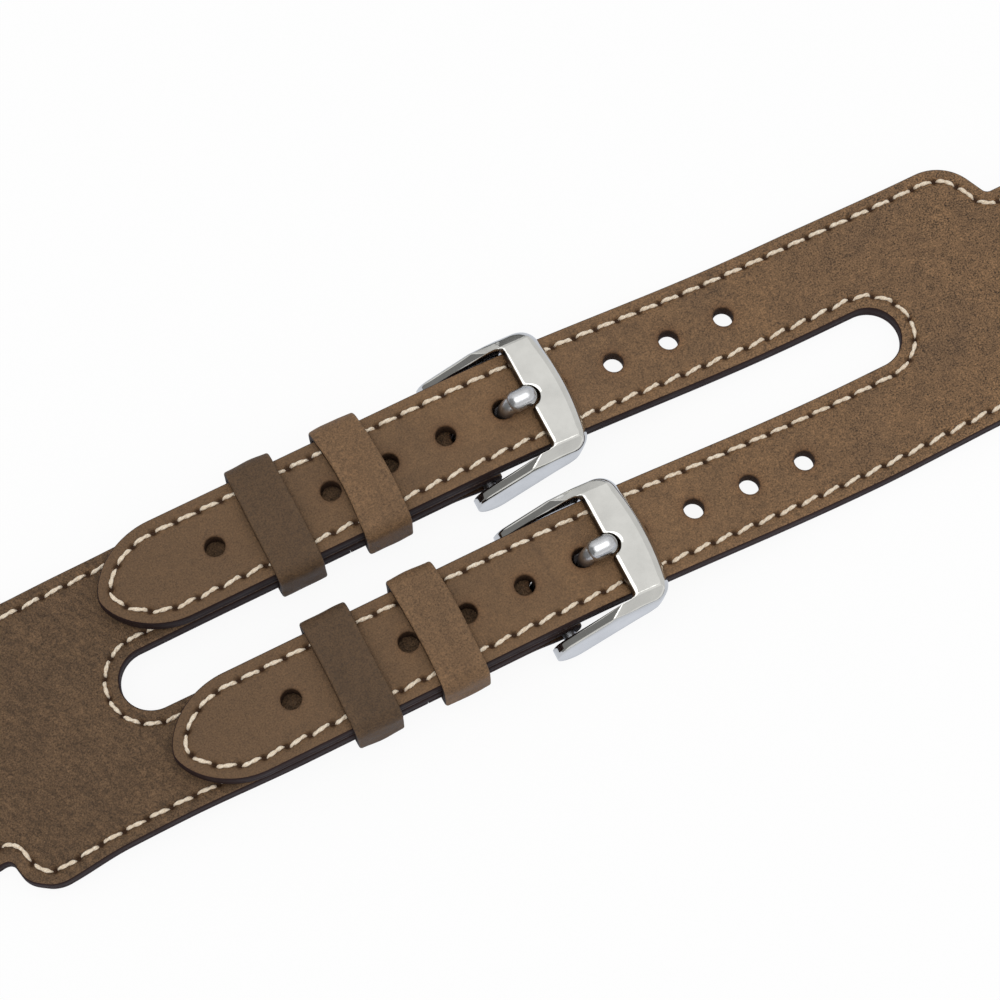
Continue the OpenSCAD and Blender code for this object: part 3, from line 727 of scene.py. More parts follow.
def leather(name, main, pale, deep, speckle, stretch=(1, 1, 1), shift=0.0, fade=None,
            relief=0.0001, creases=0.0):
    """Oiled hide: patches, grain, paler worn edges, orange-brown hole rims darkened at the edge as
    painted shade, and painted shade in the needle slits.

    fade is three places along the band: the hide is plain and dark before the first, and its
    speckle grows from the second to the third."""
    material, n, shader, at = blank(name, Roughness=0.62, Specular_IOR_Level=0.24)
    moved = n.add("ShaderNodeVectorMath", {0: at, 1: (shift, shift * 0.7, shift * 0.3)},
                  operation="ADD").outputs[0]
    marks = n.place(CLOUDS, Place=moved, Stretch=stretch)
    grain = n.place(GRAIN, Place=at)
    colour = n.mix(marks["Patches"], deep, main)
    colour = n.mix(n.times(marks["Small patches"], 0.35), colour, pale)
    colour = n.mix(n.times(n.mark("rub"), 0.4, True), colour, pale)
    ring = n.mark("ring")
    colour = n.mix(n.times(ring, 0.55, True), colour, SCORCHED)
    # Painted shade at each hole's rim, darkest right at the edge
    colour = n.mix(n.times(n.calc("POWER", ring, 3.0), 0.6, True), colour, HOLE_RIM_SHADE)
    amount = 1.0
    if fade:
        along = n.add("ShaderNodeSeparateXYZ", {0: at}).outputs[0]
        amount = n.span(along, fade[1], fade[2], 0.36, 1.0)
        colour = n.mix(n.span(along, fade[0], fade[1], 0.9, 0.0), colour, deep)
    colour = overlay(n, amount, colour, grain["Fleck"], speckle)
    if creases:
        turned = n.add("ShaderNodeVectorRotate", Vector=at, rotation_type="Z_AXIS",
                       Angle=1.05).outputs[0]
        fold = n.place(CLOUDS, Place=turned, Stretch=(1.6, 4.6, 3.0))
        colour = overlay(n, 1.0, colour, fold["Small patches"], creases)
    # Painted shade in the needle slits
    colour = n.mix(n.span(n.mark("slit"), 0.12, 0.8), colour, SLIT_SHADE)
    n.dress(shader, colour, n.span(grain["Fleck"], 0, 1, 0.55, 0.72), grain["Height"], 0.6, relief)
    return material


def edge_paint(name, colour, sheen):
    """Painted and burnished edge, smooth with fine marks along it."""
    material, n, shader, at = blank(name, Roughness=0.6, Specular_IOR_Level=0.05)
    grain = n.place(GRAIN, Place=at)
    marks = n.place(CLOUDS, Place=at, Stretch=(0.6, 0.6, 2.0))
    tone = n.mix(marks["Patches"], colour, sheen)
    tone = n.mix(n.times(grain["Fleck"], 0.3), tone, sheen)
    n.dress(shader, tone, n.span(marks["Small patches"], 0, 1, 0.5, 0.68), grain["Height"], 0.2,
            0.00005)
    return material


def flesh(name):
    """Cut or split side of the hide: matt, fibrous and dark."""
    material, n, shader, at = blank(name, Roughness=0.85, Specular_IOR_Level=0.2)
    grain = n.place(GRAIN, Place=at)
    colour = n.mix(grain["Fleck"], CUT_DARK, CUT_PALE)
    n.dress(shader, colour, None, grain["Height"], 0.5, 0.0001)
    return material


def thread_material(name, pale, deep):
    """Waxed thread: fine fibres, and patches here and there that are slightly darker."""
    material, n, shader, at = blank(name, Roughness=0.55, Specular_IOR_Level=0.35,
                                    Sheen_Weight=0.25)
    grain = n.place(GRAIN, Place=at)
    marks = n.place(CLOUDS, Place=at)
    colour = n.mix(grain["Fleck"], deep, pale)
    colour = n.mix(n.times(marks["Patches"], 0.3), colour, deep)
    n.dress(shader, colour, None, grain["Height"], 0.3, 0.00003)
    return material


def metal(name, colour, rough, spread_rough, bump_strength=0.02):
    """Steel with faint smears that change its gloss, and painted shade: brown-grey and duller where
    the painted_shade mark is high.
    """
    material, n, shader, at = blank(name, Metallic=1.0)
    dust = n.place(DUST, Place=at)
    dull = tuple(c * 0.93 for c in colour)
    # Painted shade: the mark turns the steel brown-grey and duller
    painted_shade = n.mark("painted_shade")
    colour = n.mix(painted_shade, n.mix(dust["Smear"], colour, dull), SHADE_BROWN)
    gloss = n.span(dust["Smear"], 0, 1, rough, rough + spread_rough)
    gloss = n.calc("ADD", gloss, n.times(painted_shade, 0.2))
    n.dress(shader, colour, gloss, dust["Fine"], bump_strength, 0.00002)
    return material


HOLED_LEATHER = leather("holed half leather", (121, 92, 63), (136, 105, 74), (100, 77, 55), 0.5,
                        fade=(-0.046, 0.004, 0.06))
BUCKLE_LEATHER = leather("buckle half leather", (99, 76, 54), (111, 87, 63), (87, 67, 48), 0.3,
                         shift=0.05, relief=0.0002, creases=0.14)
LIGHT_KEEPER = leather("fixed keeper leather", (118, 90, 63), (131, 102, 73), (103, 79, 56), 0.24,
                       (1.4, 0.45, 1), 0.02)
DARK_KEEPER = leather("free keeper leather", (88, 67, 47), (99, 77, 55), (78, 60, 43), 0.2,
                      (1.4, 0.45, 1), 0.03)
LINING = leather("lining leather", (114, 80, 55), (128, 92, 64), (98, 69, 49), 0.14, shift=0.07)
PAINTED_EDGE = edge_paint("painted edge", (39, 28, 27), (55, 42, 41))
KEEPER_EDGE = edge_paint("keeper edge", (34, 24, 19), (52, 39, 30))
FLESH = flesh("split leather")
THREAD = thread_material("waxed thread", (255, 246, 228), (216, 192, 162))
POLISHED = metal("polished steel", (214, 213, 208), 0.06, 0.05)
SATIN = metal("satin steel", (205, 206, 208), 0.24, 0.08, 0.08)
BAR_STEEL = metal("bar steel", (180, 182, 186), 0.28, 0.1, 0.05)
SPRING_STEEL = metal("spring steel", (150, 152, 156), 0.35, 0.1, 0.05)

for node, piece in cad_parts.items():
    if "_bar_" in node:
        for place_in in piece.material_slots:
            place_in.material = SPRING_STEEL if node.endswith("spring") else BAR_STEEL


# Straps

def seam_of(side, lo, hi, rows=((0, STITCH_PITCH), (1, STITCH_PITCH))):
    """Distance along the seam line at each outline point, and where the seam is sewn."""
    line = side(SEAM_INSET)
    run = pace(run_length(line), rows)
    live = ease(line[:, 0], lo - 0.1, lo) * (1 - ease(line[:, 0], hi, hi + 0.1))
    return line, run, live


LUG_BENDS = [(bar - 1, bar + 6.5) for bar in (LONG_BAR, SHORT_BAR)]
holed = lambda i: holed_side(i, LONG_END)
long_line, long_run, long_live = seam_of(holed, -FAR_OFF, HOLED_SEAM_TO,
                                         [(0, 2.58), (8, 2.58), (10, 2.69), (200, 2.72)])
adjusting = [punched(k * HOLE_PITCH - HOLE_SHIFT * (k > 0) - FIRST_HOLE_SHIFT * (k == 1), s * YC)
             for s in (1, -1) for k in range(-HOLES_BEFORE, HOLES_AFTER + 1)]
sheet("holed_half_leather", holed, long_run, long_live, adjusting,
      spread(-LONG_TIP, LONG_END, LUG_BENDS[:1]), holed_surface, holed_thick,
      "long_top_leather", HOLED_LEATHER, 1)

short_line, short_run, short_live = seam_of(
    buckle_side, RAMP_END + SEAM_REST, BUCKLE_SEAM_TO,
    [(0, 2.38), (9, 2.38), (12, 2.6), (90, 2.7), (110, 2.78)])
# Beyond the strap's folded end the seam starts afresh, so its first stitch is a whole one
strap_end = int(np.argmin(short_line[:, 0]))
turn_at = int(np.argmin(np.abs(short_line[:, 0] - RAMP_END) + (short_line[:, 1] < YC) * FAR_OFF))
outer_part = (short_line[:, 1] > YC) & (np.arange(len(short_run)) > strap_end)
short_run = np.where(outer_part, short_run - short_run[turn_at], short_run)
eyes = [window(BAR_BACK - BUCKLE_TURN - EYE_REACH, BAR_BACK + EYE_REACH, s * YC, EYE_HALF)
        for s in (1, -1)]
sheet("buckle_half_leather", buckle_side, short_run, short_live, eyes,
      spread(SHORT_START, SHORT_END, [(BAR_BACK - 7, BAR_BACK + 1), LUG_BENDS[1]]),
      buckle_surface, buckle_thick, "short_top_leather", BUCKLE_LEATHER, 4,
      hand=-1)

long_lined = lambda i: holed_side(i, LONG_LINED_TO)
lining_line, lining_run, lining_live = seam_of(long_lined, -FAR_OFF, LONG_LINED_TO - SEAM_REST)
sheet("holed_half_lining", long_lined, lining_run, lining_live, adjusting,
      spread(-LONG_TIP, LONG_BAR), long_lining_surface, lining_thick,
      "long_lining", LINING, 6)

lined_line, lined_run, lined_live = seam_of(lined_side, LINED_FROM + SEAM_REST,
                                            LINED_TO - SEAM_REST)
sheet("buckle_half_lining", lined_side, lined_run, lined_live, [], spread(LINED_FROM, LINED_TO),
      short_lining_surface, lining_thick, "short_lining", LINING, 8)


# Stitches

HALF_STITCH = 0.93
PLY_OFFSET = 0.075
PLY_R = 0.165
SINGLE_R = 0.17
DIP_FROM = 0.76
TWIST = 3.1


def stitches(name, line, run, first, last, surface, mirror, replaces, plies, slants, rise):
    """Stitches that dip into their needle slits, on both sides of the band, of one or two plies."""
    apart, thick, turns, wide = (PLY_OFFSET, PLY_R, 15, 7) if plies == 2 else (0.0, SINGLE_R, 9, 6)
    tangent = unit(np.gradient(line, run, axis=0))
    inward = np.stack([tangent[:, 1], -tangent[:, 0]], 1)
    tau = np.linspace(-1, 1, turns)
    a = full_turn(wide)
    starts = np.arange(int(run[-1] / STITCH_PITCH)) * STITCH_PITCH + STITCH_PITCH / 2
    points, faces = [], []
    for middle in starts:
        at = middle + tau * HALF_STITCH
        keep = np.interp(at, run, line[:, 0])
        if keep.min() <= first or keep.max() >= last:
            continue
        flat, nin = (np.stack([np.interp(at, run, v[:, k]) for k in (0, 1)], 1)
                     for v in (line, inward))
        for side in (1, -1):
            facing = -nin[len(tau) // 2, 1] * side
            slant = math.radians((slants[0] + slants[1]) / 2 + (slants[1] - slants[0]) / 2 * facing)
            p = flat - nin * (tau * HALF_STITCH * math.tan(slant) * 0.92)[:, None] * side * mirror
            p = p * [1, side]
            h = rise - 0.05 * tau ** 2 - 4.2 * np.maximum(np.abs(tau) - DIP_FROM, 0) ** 1.4
            centre = surface(p[:, 0], p[:, 1], h)
            along = unit(np.gradient(centre, axis=0))
            across = unit(np.cross(along, [0, 0, 1.0]))
            up = np.cross(across, along)
            fat = 1 - 0.3 * np.maximum(np.abs(tau) - 0.6, 0) / 0.4 - 0.06 * tau
            offset, radius = apart * fat, thick * fat
            phase = middle * 2.3 + side
            for ply in range(plies):
                turn = TWIST * tau + phase + math.pi * ply
                core = (centre + (np.cos(turn) * offset)[:, None] * across
                        + (np.sin(turn) * offset)[:, None] * up)
                ring = core[:, None] + radius[:, None, None] * (
                    np.cos(a)[None, :, None] * across[:, None]
                    + np.sin(a)[None, :, None] * up[:, None])
                faces.extend(bar_faces(len(points) * len(tau) * wide, len(tau), wide))
                points.append(ring.reshape(-1, 3))
    new_piece(name, np.concatenate(points), faces, "band", replaces, [THREAD])


stitches("holed_half_stitches", long_line, long_run, -FAR_OFF, HOLED_SEAM_TO, holed_surface, 1,
         ["long_top_thread"], 2, (12, -5), 0.03)
stitches("buckle_half_stitches_inner", short_line[:strap_end], short_run[:strap_end],
         RAMP_END + SEAM_REST, SHORT_BAR, buckle_surface, -1, ["short_top_thread"], 2, (3, 3), 0.03)
stitches("buckle_half_stitches_outer", short_line[turn_at:], short_run[turn_at:],
         RAMP_END, BUCKLE_SEAM_TO, buckle_surface, -1, [], 2, (-5, 7), 0.03)
stitches("holed_half_back_stitches", lining_line, lining_run, -FAR_OFF, LONG_LINED_TO - SEAM_REST,
         long_lining_surface, 1, ["long_under_thread"], 1, (0, 0), -0.2)
stitches("buckle_half_back_stitches", lined_line, lined_run, LINED_FROM + 0.5,
         LINED_TO - SEAM_REST, short_lining_surface, 1, ["short_under_thread"], 1, (0, 0), -0.2)


# Keepers

KEEPER_B = 5.4
KEEPER_T = 0.95
KEEPER_GAP = 0.3
KEEPER_R_LOW = 0.85
KEEPER_R_HIGH = 0.93
FIXED_KEEPER_AT = 17.6
FREE_KEEPER_AT = 27.9
KEEPER_HALF = 7.2


def keeper(name, y0, back_x, under, body, node, hide, bend, lean, seed):
    """A leather loop: a band with rounded long edges, bent round four corners, butted below."""
    low, high = SHORT_LIFT - under, TAIL_TOP + KEEPER_GAP
    wide, r_low, r_high = STRAP_W / 2 + KEEPER_GAP, KEEPER_R_LOW, KEEPER_R_HIGH
    path = chain([
        (0, low), 26, bow((wide - r_low, low + r_low), r_low, -90, 0, 11), 16,
        bow((wide - r_high, high - r_high), r_high, 0, 90, 13), 60,
        bow((r_high - wide, high - r_high), r_high, 90, 180, 13), 16,
        bow((r_low - wide, low + r_low), r_low, 180, 270, 11), 26, (-0.001, low)])
    run = run_length(path)
    tangent = unit(np.gradient(path, axis=0))
    normal = np.stack([tangent[:, 1], -tangent[:, 0]], 1)
    half, r_out, r_in = KEEPER_B / 2, 0.26, 0.15
    profile = chain([
        bow((r_out - half, KEEPER_T - r_out), r_out, 180, 90, 6), 18,
        bow((half - r_out, KEEPER_T - r_out), r_out, 90, 0, 6), 4,
        bow((half - r_in, r_in), r_in, 0, -90, 4), 8,
        bow((r_in - half, r_in), r_in, -90, -180, 4), 4, (-half, KEEPER_T - r_out - 0.001)])
    face = np.where(profile[:, 1] > KEEPER_T - 0.2, 0, np.where(profile[:, 1] < 0.1, 2, 1))
    count = len(profile)
    rows, rub = [], []
    for k in range(len(path)):
        w, h = profile[:, 0], profile[:, 1].copy()
        spot = np.stack([np.full(count, run[k]), w], 1)
        seam = min(run[k], run[-1] - run[k])
        outer = ease(h, 0.3, KEEPER_T)
        h += outer * (0.07 * (1 - (w / half) ** 2) + 0.045 * waves(spot, 6, seed)
                      - 0.22 * math.exp(-(seam / 0.14) ** 2))
        middle = path[k][0]
        x = (-back_x + w * (1 + 0.012 * np.sin(run[k] * 0.5 + seed))
             + bend * (1 - (middle / KEEPER_HALF) ** 2) - lean * middle / KEEPER_HALF)
        rows.append(np.stack([x, y0 + middle + normal[k][0] * h, path[k][1] + normal[k][1] * h], 1))
        rub.append(np.exp(-(half - np.abs(w)) / 0.35) * outer)
    faces = hoop_faces(len(path), count)
    near, far = face[faces[:, 0] % count], face[faces[:, 1] % count]
    paint = np.where((near == 1) | (far == 1), 1, np.maximum(near, far))
    zero = np.zeros(len(path) * count)
    new_piece(name, np.concatenate(rows), faces, body, [node], [hide, KEEPER_EDGE, FLESH],
              {"rub": np.concatenate(rub), "slit": zero, "ring": zero}, paint, sharp=60)


for side, y0, bend, lean, seed in (("a", YC, 0.55, 0.2, 3), ("b", -YC, 0.3, 0.1, 7)):
    keeper("fixed_keeper_" + side, y0, FIXED_KEEPER_AT, GLUE, "band",
           "keeper_fixed_" + side, LIGHT_KEEPER, bend, lean, seed)
    keeper("free_keeper_" + side, y0, FREE_KEEPER_AT, KEEPER_GAP, "keeper_free_" + side,
           "keeper_free_" + side, DARK_KEEPER, 0.05, 0.05, seed + 2)


# Buckles

FRAME_HALF = 7.8
FRAME_INNER = 6.6
FRONT_IN = 2.82
FRONT_OUT = 7.75
FRONT_BOW = 1.0
FRAME_CORNER = 2.3
INNER_CORNER = 0.7
FRONT_TOP = 8.27
FRONT_SLOPE = 0.133
RIM_W = 0.56
WALL_W = 0.32
RIM_SLOPE = 0.24
WALL_SLOPE = 1.9
ARM_R = 2.4
ARM_LEVEL = 1.7
FINGER_R = 1.2
FINGER_TIP = 3.98
NOTCH_R_IN = 1.34
LIP_R = 0.25

# How far the front bar's top lies below its highest level: towards its ends, and over its bevel
END_AT = [0, 5.4, 6.3, 6.55, 7.6, 8]
END_DROP = [0, 0, 0.03, 0.11, 0.78, 1.05]
BEVEL_AT = [0, 0.03, 0.1, 0.2, 0.35, 0.5, 0.7, 0.9, 1.1]
BEVEL_DROP = [1.05, 0.9, 0.72, 0.55, 0.37, 0.24, 0.11, 0.03, 0]

# Lower edge of the arms beyond the straight part: places and heights
ARM_LOW_AT = [2.6, 4.2, 5.2, 6.2, 7.2, 8]
ARM_LOW_Z = [3.45, 3.95, 4.62, 5.45, 6.2, 6.7]

# Distances of the frame's mesh lines from its outer and its inner edge
NEAR_OUT = np.array([0, 0.015, 0.05, 0.1, 0.16, 0.23, 0.31, 0.4, 0.5, 0.6, 0.7, 0.8, 0.9, 1.0, 1.1,
                     1.25])
NEAR_IN = np.array([0.95, 0.8, 0.7, 0.64, 0.58, 0.5, 0.42, 0.36, 0.32, 0.28, 0.22, 0.15, 0.09, 0.05,
                    0.02, 0])

# The tongue from its eye to its tip: place, height, half thickness, half width
NECK = [(-3.75, 3.3, 0.75, 0.95), (-2.6, 3.5, 0.85, 1.4), (-1.4, 3.6, 0.95, 1.85),
        (-0.6, 3.66, 0.98, 1.95), (-0.06, 4.02, 0.98, 1.9), (0.05, 4.5, 0.98, 1.5),
        (0.12, 5.05, 0.97, 1.0), (0.2, 6.6, 0.95, 0.95), (0.34, 7.2, 0.94, 0.94),
        (0.6, 7.7, 0.94, 0.94), (0.95, 8.05, 0.97, 0.97), (1.4, 8.3, 1.0, 1.0)]
FINGER = [(1.62, 8.36, 1.22, 1.22), (2.0, 8.36, 1.22, 1.22), (2.78, 8.36, 1.22, 1.22)]
EYE = [(0.81, -1.0), (0.87, -1.08), (1.3, -1.1), (1.39, -1.0), (1.4, -0.8), (1.4, 0.8), (1.39, 1.0),
       (1.3, 1.1), (0.87, 1.08), (0.81, 1.0)]


def soft_min(values, r):
    """The lowest of several heights, rounded where two meet."""
    out = values[0]
    for v in values[1:]:
        blend = np.clip(0.5 + 0.5 * (v - out) / r, 0, 1)
        out = v + (out - v) * blend - r * blend * (1 - blend)
    return out


def tangent_from(x, z, sense):
    """Where a straight edge from a point meets the arm's round end."""
    dx, dz = x + BAR_BACK, z - BAR_Z
    a = math.atan2(dz, dx) + sense * math.acos(ARM_R / math.hypot(dx, dz))
    return -BAR_BACK + ARM_R * math.cos(a), BAR_Z + ARM_R * math.sin(a)


TOP_TOUCH = tangent_from(ARM_LEVEL, FRONT_TOP, 1)
LOW_TOUCH = tangent_from(4.2, 3.9, -1)


def arm_top(x):
    """Height of the arms' straight top edge, which runs on past the bar, and round ends."""
    circle = BAR_Z + np.sqrt(np.maximum(ARM_R ** 2 - (x + BAR_BACK) ** 2, 0))
    rise = (FRONT_TOP - TOP_TOUCH[1]) / (ARM_LEVEL - TOP_TOUCH[0])
    return np.where(x < TOP_TOUCH[0], circle, FRONT_TOP + rise * (x - ARM_LEVEL))


def bar_top(x):
    return FRONT_TOP - FRONT_SLOPE * np.maximum(x - FRONT_IN, 0)


def arm_low(x):
    """Height of the arms' lower edge."""
    circle = BAR_Z - np.sqrt(np.maximum(ARM_R ** 2 - (x + BAR_BACK) ** 2, 0))
    line = np.interp(x, [LOW_TOUCH[0], *ARM_LOW_AT], [LOW_TOUCH[1], *ARM_LOW_Z])
    return np.where(x < LOW_TOUCH[0], circle, line)


def frame_stations():
    """Pairs of outer and inner plan points round the frame, and how far each is from arm to bar."""
    bow_r = (FRAME_HALF ** 2 + FRONT_BOW ** 2) / (2 * FRONT_BOW)
    centre = FRONT_OUT - bow_r
    kx = centre + math.sqrt((bow_r - FRAME_CORNER) ** 2 - (FRAME_HALF - FRAME_CORNER) ** 2)
    turn = math.degrees(math.atan2(FRAME_HALF - FRAME_CORNER, kx - centre))
    end = -BAR_BACK - ARM_R
    arm_x = np.concatenate([-BAR_BACK - ARM_R * np.cos(np.radians(np.linspace(0, 90, 16))),
                            np.linspace(-BAR_BACK, FRONT_IN - INNER_CORNER, 56)[1:]])
    t = (arm_x - end) / (FRONT_IN - INNER_CORNER - end)
    reach = kx - FRONT_IN + INNER_CORNER
    outer_x = arm_x + reach * np.clip((t - 0.4) / 0.6, 0, 1) ** 2
    n = 26
    y_top = bow_r * math.sin(math.radians(turn))
    on_bow = lambda y: np.stack([centre + np.sqrt(bow_r ** 2 - y ** 2), y], 1)
    fade = np.linspace(0, 1, 40)[1:]
    mouth = NOTCH_R_IN + LIP_R
    inner_y = FRAME_INNER - INNER_CORNER + (mouth - FRAME_INNER + INNER_CORNER) * fade
    cx = FINGER_TIP - FINGER_R
    lip = bow((FRONT_IN + LIP_R, mouth), LIP_R, 180, 270, 6)[1:]
    arc_start = math.degrees(math.acos(min(1, (FRONT_IN + LIP_R - cx) / NOTCH_R_IN)))
    notch = np.concatenate([lip, bow((cx, 0), NOTCH_R_IN, arc_start, 0, 16)])
    outer = np.concatenate([
        np.stack([outer_x, np.full(len(t), FRAME_HALF)], 1),
        bow((kx, FRAME_HALF - FRAME_CORNER), FRAME_CORNER, 90, turn, n)[1:],
        on_bow(y_top + (mouth - y_top) * fade), on_bow(np.linspace(mouth, 0, len(notch) + 1)[1:])])
    inner = np.concatenate([
        np.stack([arm_x, np.full(len(t), FRAME_INNER)], 1),
        bow((FRONT_IN - INNER_CORNER, FRAME_INNER - INNER_CORNER), INNER_CORNER, 90, 0, n)[1:],
        np.stack([np.full(len(fade), FRONT_IN), inner_y], 1), notch])
    kind = np.concatenate([np.zeros(len(t)), np.linspace(0, 1, n)[1:],
                           np.ones(len(fade) + len(notch))])
    mirror_rows = lambda p: np.concatenate([p, p[-2::-1] * [1, -1]])
    return mirror_rows(outer), mirror_rows(inner), np.concatenate([kind, kind[-2::-1]])


def buckle_frame(name, y0, body, node):
    """A frame of steel: two arms with round ends, and a broad bar with bevels and a notch."""
    rows, painted_shade = [], []
    for o, i, kind in zip(*frame_stations()):
        width = math.hypot(*(i - o))
        fit = min(1, width / 2.4)
        between_edges = np.linspace(NEAR_OUT[-1] * fit, width - NEAR_IN[0] * fit, 16)[1:-1]
        v = np.concatenate([NEAR_OUT * fit, between_edges, width - NEAR_IN * fit])
        flat = o + (i - o) * (v / width)[:, None]
        x, y = flat[:, 0], np.abs(flat[:, 1])
        front = ease(o[0], -1.5, 4.5)
        edge = np.interp(v, BEVEL_AT, BEVEL_DROP) * front
        end = np.interp(y, END_AT, END_DROP)
        rim = bar_top(x) - RIM_SLOPE * (RIM_W - (width - v))
        wall_in = (bar_top(x) - RIM_SLOPE * (RIM_W - WALL_W)
                   - WALL_SLOPE * (WALL_W - (width - v)) * ease(kind, 0.3, 0.9))
        top = soft_min([bar_top(x) - (edge ** 3 + end ** 3) ** (1 / 3), rim], 0.05)
        top = soft_min([soft_min([top, wall_in], 0.04), arm_top(x)], 0.015)
        tall = max(0.02, float(top[0] - arm_low(o[0])))
        round_out = min(0.42, tall * 0.3) * (1 - front) + 0.06 * front
        round_in = min(0.3, tall * 0.3) * (1 - front) + 0.08 * front
        top = top - round_over(v, round_out) - round_over(width - v, round_in)
        under = arm_low(x) + (long_high(x) + 0.15 - arm_low(x)) * ease(kind, 0, 0.62)
        under = np.minimum(under, top - 0.02)
        low = np.minimum(under + round_over(v, 0.2) + round_over(width - v, 0.2), top - 0.01)
        wall = lambda p, a, b: [[p[0], p[1], a + (b - a) * f] for f in (0.2, 0.4, 0.6, 0.8)]
        rows.append(np.concatenate([
            np.column_stack([flat, top]), wall(flat[-1], top[-1], low[-1]),
            np.column_stack([flat, low])[::-1], wall(flat[0], low[0], top[0])]))
        # Painted shade: the inner wall and inner edge, which face the shaded leather under the bar,
        # darken towards brown as shade and as a painted reflection of that leather; more on the bar
        # than on the arms, some on the hidden underside
        bar_shade = 0.15 + 0.7 * ease(kind, 0.2, 0.8)
        painted_shade.append(np.concatenate([bar_shade * (1 - ease(width - v, 0.2, 0.32)), np.full(4, bar_shade),
                                    np.full(len(v), 0.3), np.zeros(4)]))
    count = len(rows[0])
    pts = np.concatenate(rows)
    pts[:, 1] += y0
    new_piece(name, pts, bar_faces(0, len(rows), count), body, [node], [POLISHED],
              {"painted_shade": np.concatenate(painted_shade)}, sharp=35)


def rod(points, wide=32):
    """Points and faces of a bar through (x, z, height, width) points, with round ends."""
    points = np.asarray(points, float)
    run = run_length(points[:, :2])
    fine = np.linspace(0, run[-1], 60)
    shape = smooth_line(run, points, fine)
    path, radii = shape[:, :2], shape[:, 2:]
    tangent = unit(np.gradient(path, fine, axis=0))
    caps = np.radians(np.linspace(0, 84, 9))

    def cap(k, way, angles):
        return [(path[k] + way * tangent[k] * radii[k][0] * math.sin(a), tangent[k],
                 radii[k] * math.cos(a)) for a in angles]

    body = list(zip(path[1:-1], tangent[1:-1], radii[1:-1]))
    a = full_turn(wide)
    rows = []
    for p, t, r in cap(0, -1, caps[::-1]) + body + cap(-1, 1, caps):
        rows.append(np.stack([p[0] - t[1] * np.cos(a) * r[0], np.sin(a) * r[1],
                              p[1] + t[0] * np.cos(a) * r[0]], 1))
    return np.concatenate(rows), bar_faces(0, len(rows), wide)


def smooth_line(run, path, at):
    """A soft curve through the path's points."""
    slope = np.gradient(path, run, axis=0)
    k = np.clip(np.searchsorted(run, at) - 1, 0, len(run) - 2)
    gap = (run[k + 1] - run[k])[:, None]
    t = ((at - run[k]) / (run[k + 1] - run[k]))[:, None]
    a, b = path[k], path[k + 1]
    return (a * (2 * t ** 3 - 3 * t ** 2 + 1) + slope[k] * gap * (t ** 3 - 2 * t ** 2 + t)
            + b * (3 * t ** 2 - 2 * t ** 3) + slope[k + 1] * gap * (t ** 3 - t ** 2))


def collar(x, z, profile, wide=48):
    """A ring about an axis along Y, from (radius, y) points."""
    a = full_turn(wide)
    rows = [np.stack([x + r * np.cos(a), np.full(wide, y), z + r * np.sin(a)], 1)
            for r, y in profile]
    return np.concatenate(rows), hoop_faces(len(rows), wide).tolist()


def tongue(name, y0, body, node):
    """Round wire: an eye on the bar, a broad shank under the tail, and a full finger above it."""
    shapes = [rod(NECK), rod(FINGER), collar(-BAR_BACK, BAR_Z, EYE)]
    starts = np.cumsum([0] + [len(pts) for pts, _ in shapes])
    pts = np.concatenate([pts for pts, _ in shapes])
    faces = [[q + int(start) for q in face] for start, (_, made) in zip(starts, shapes)
             for face in made]
    pts[:, 1] += y0
    # Painted shade: the neck darkens to brown lower down in its hole, as shade and a painted
    # reflection of the leather round it; the finger gets less
    painted_shade = ease(pts[:, 0], -3.2, -1.8) * (
        0.7 * ease(-pts[:, 2], -8.5, -7.4) + 0.3 * ease(-pts[:, 2], -6.9, -5.4))
    painted_shade[starts[1]:starts[2]] *= 0.3
    new_piece(name, pts, faces, body, [node], [SATIN], {"painted_shade": painted_shade}, sharp=50)


for side, y0 in (("a", YC - SIDE_PLAY), ("b", -YC - SIDE_PLAY)):
    buckle_frame("frame_" + side, y0, "buckle_frame_" + side, "buckle_frame_" + side)
    tongue("pin_" + side, y0, "tongue_" + side, "tongue_" + side)


# Floor, light and camera

def studio_sheet(name, corners, material):
    mesh = bpy.data.meshes.new(name)
    mesh.from_pydata(corners, [], [(0, 1, 2, 3)])
    mesh.materials.append(material)
    obj = show(name, mesh)
    return obj


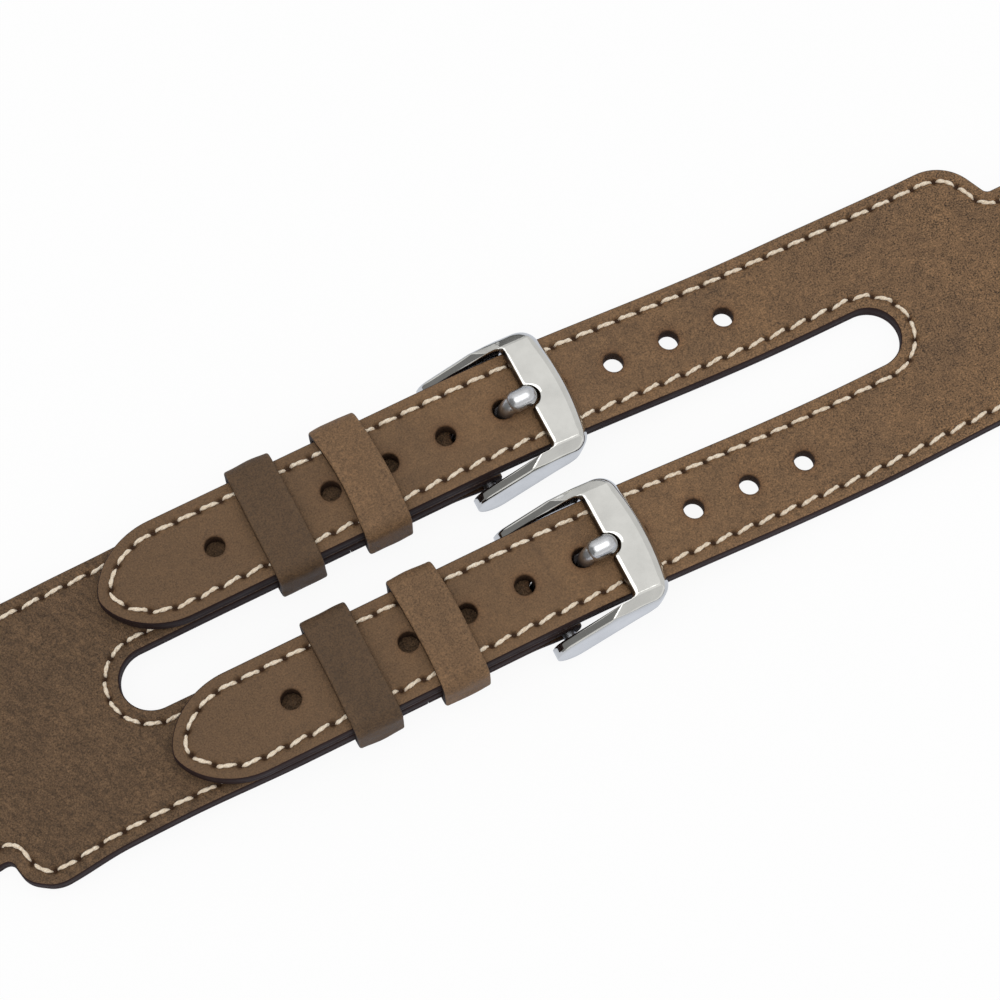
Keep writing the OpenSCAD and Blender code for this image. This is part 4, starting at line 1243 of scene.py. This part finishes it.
def floor_and_light():
    """A white studio: a world, a floor that takes a shadow, cards for the metal, and one lamp."""
    world = bpy.data.worlds.new("studio")
    bpy.context.scene.world = world
    world.use_nodes = True
    n = Nodes(world.node_tree)
    back = world.node_tree.nodes["Background"]
    rays = n.add("ShaderNodeLightPath").outputs
    n.join(n.span(n.seen(rays), 0, 1, 0.62, 1.0), back.inputs["Strength"])
    back.inputs["Color"].default_value = (1, 1, 1, 1)

    # Floor: white to the eye and in the metal, and it still takes a faint shadow
    material, n, shader, _ = blank("pale floor", Roughness=0.9, Specular_IOR_Level=0.1,
                                   Base_Color=(0.95, 0.95, 0.95, 1))
    rays = n.add("ShaderNodeLightPath").outputs
    white = n.add("ShaderNodeEmission", Color=n.mix(
        rays["Is Camera Ray"], (0.78, 0.82, 0.92, 1), (1.0, 1.0, 1.0, 1)))
    blend = n.add("ShaderNodeMixShader", {0: n.times(n.seen(rays), 0.92), 1: shader.outputs[0],
                                          2: white.outputs[0]})
    n.join(blend.outputs[0], material.node_tree.nodes["Material Output"].inputs["Surface"])
    s, z = 1.4, -0.00002
    studio_sheet("floor", [(-s, -s, z), (s, -s, z), (s, s, z), (-s, s, z)], material)

    # Grey cards round the object, seen only in the metal
    for name, level, (x0, y0, z0), (x1, y1, z1) in (
            ("left card", 0.24, (-0.5, -0.45, 0.0), (-0.5, 0.5, 0.96)),
            ("far card", 0.74, (-0.5, 0.56, 0.045), (0.6, 0.56, 0.39)),
            ("far low card", 0.12, (-0.5, 0.55, 0.0), (0.6, 0.55, 0.045)),
            ("near card", 0.8, (-0.5, -0.6, 0.33), (0.6, -0.6, 0.8)),
            ("near low card", 0.12, (-0.5, -0.55, 0.0), (0.6, -0.55, 0.06)),
            ("right card", 0.8, (0.65, -0.5, 0.0), (0.65, 0.6, 0.95))):
        card = bpy.data.materials.new(name)
        card.use_nodes = True
        tree = card.node_tree
        tree.nodes.remove(tree.nodes["Principled BSDF"])
        glow = Nodes(tree).add("ShaderNodeEmission", Color=(level, level, level, 1))
        tree.links.new(glow.outputs[0], tree.nodes["Material Output"].inputs["Surface"])
        obj = studio_sheet(name, [(x0, y0, z0), (x1, y1, z0), (x1, y1, z1), (x0, y0, z1)], card)
        obj.visible_camera = obj.visible_diffuse = obj.visible_shadow = False

    lamp = bpy.data.lights.new("overhead light", "AREA")
    lamp.shape, lamp.size, lamp.energy = "DISK", 0.84, 2.4
    show("overhead light", lamp).location = (-0.05, -0.10, 0.8)


def camera():
    """The photograph's view, found by fitting the band's holes and ends to it."""
    azimuth, lift, away = math.radians(27.02), math.radians(71.41), 343.5
    aim = Vector((MID_X, 0, 7.063)) * MM
    look = Vector((math.sin(azimuth) * math.cos(lift), math.cos(azimuth) * math.cos(lift),
                   -math.sin(lift)))
    right = Vector((math.cos(azimuth), -math.sin(azimuth), 0))
    up = right.cross(look)
    data = bpy.data.cameras.new("camera")
    data.lens, data.sensor_width = 113.1, 36
    data.shift_x, data.shift_y = -0.0421, -0.0174
    data.clip_start, data.clip_end = 0.01, 10
    eye = show("camera", data)
    eye.matrix_world = (Matrix.Translation(aim - look * away * MM)
                        @ Matrix((right, up, -look)).transposed().to_4x4())
    bpy.context.scene.camera = eye


floor_and_light()
camera()
bpy.context.scene.view_settings.view_transform = "Standard"
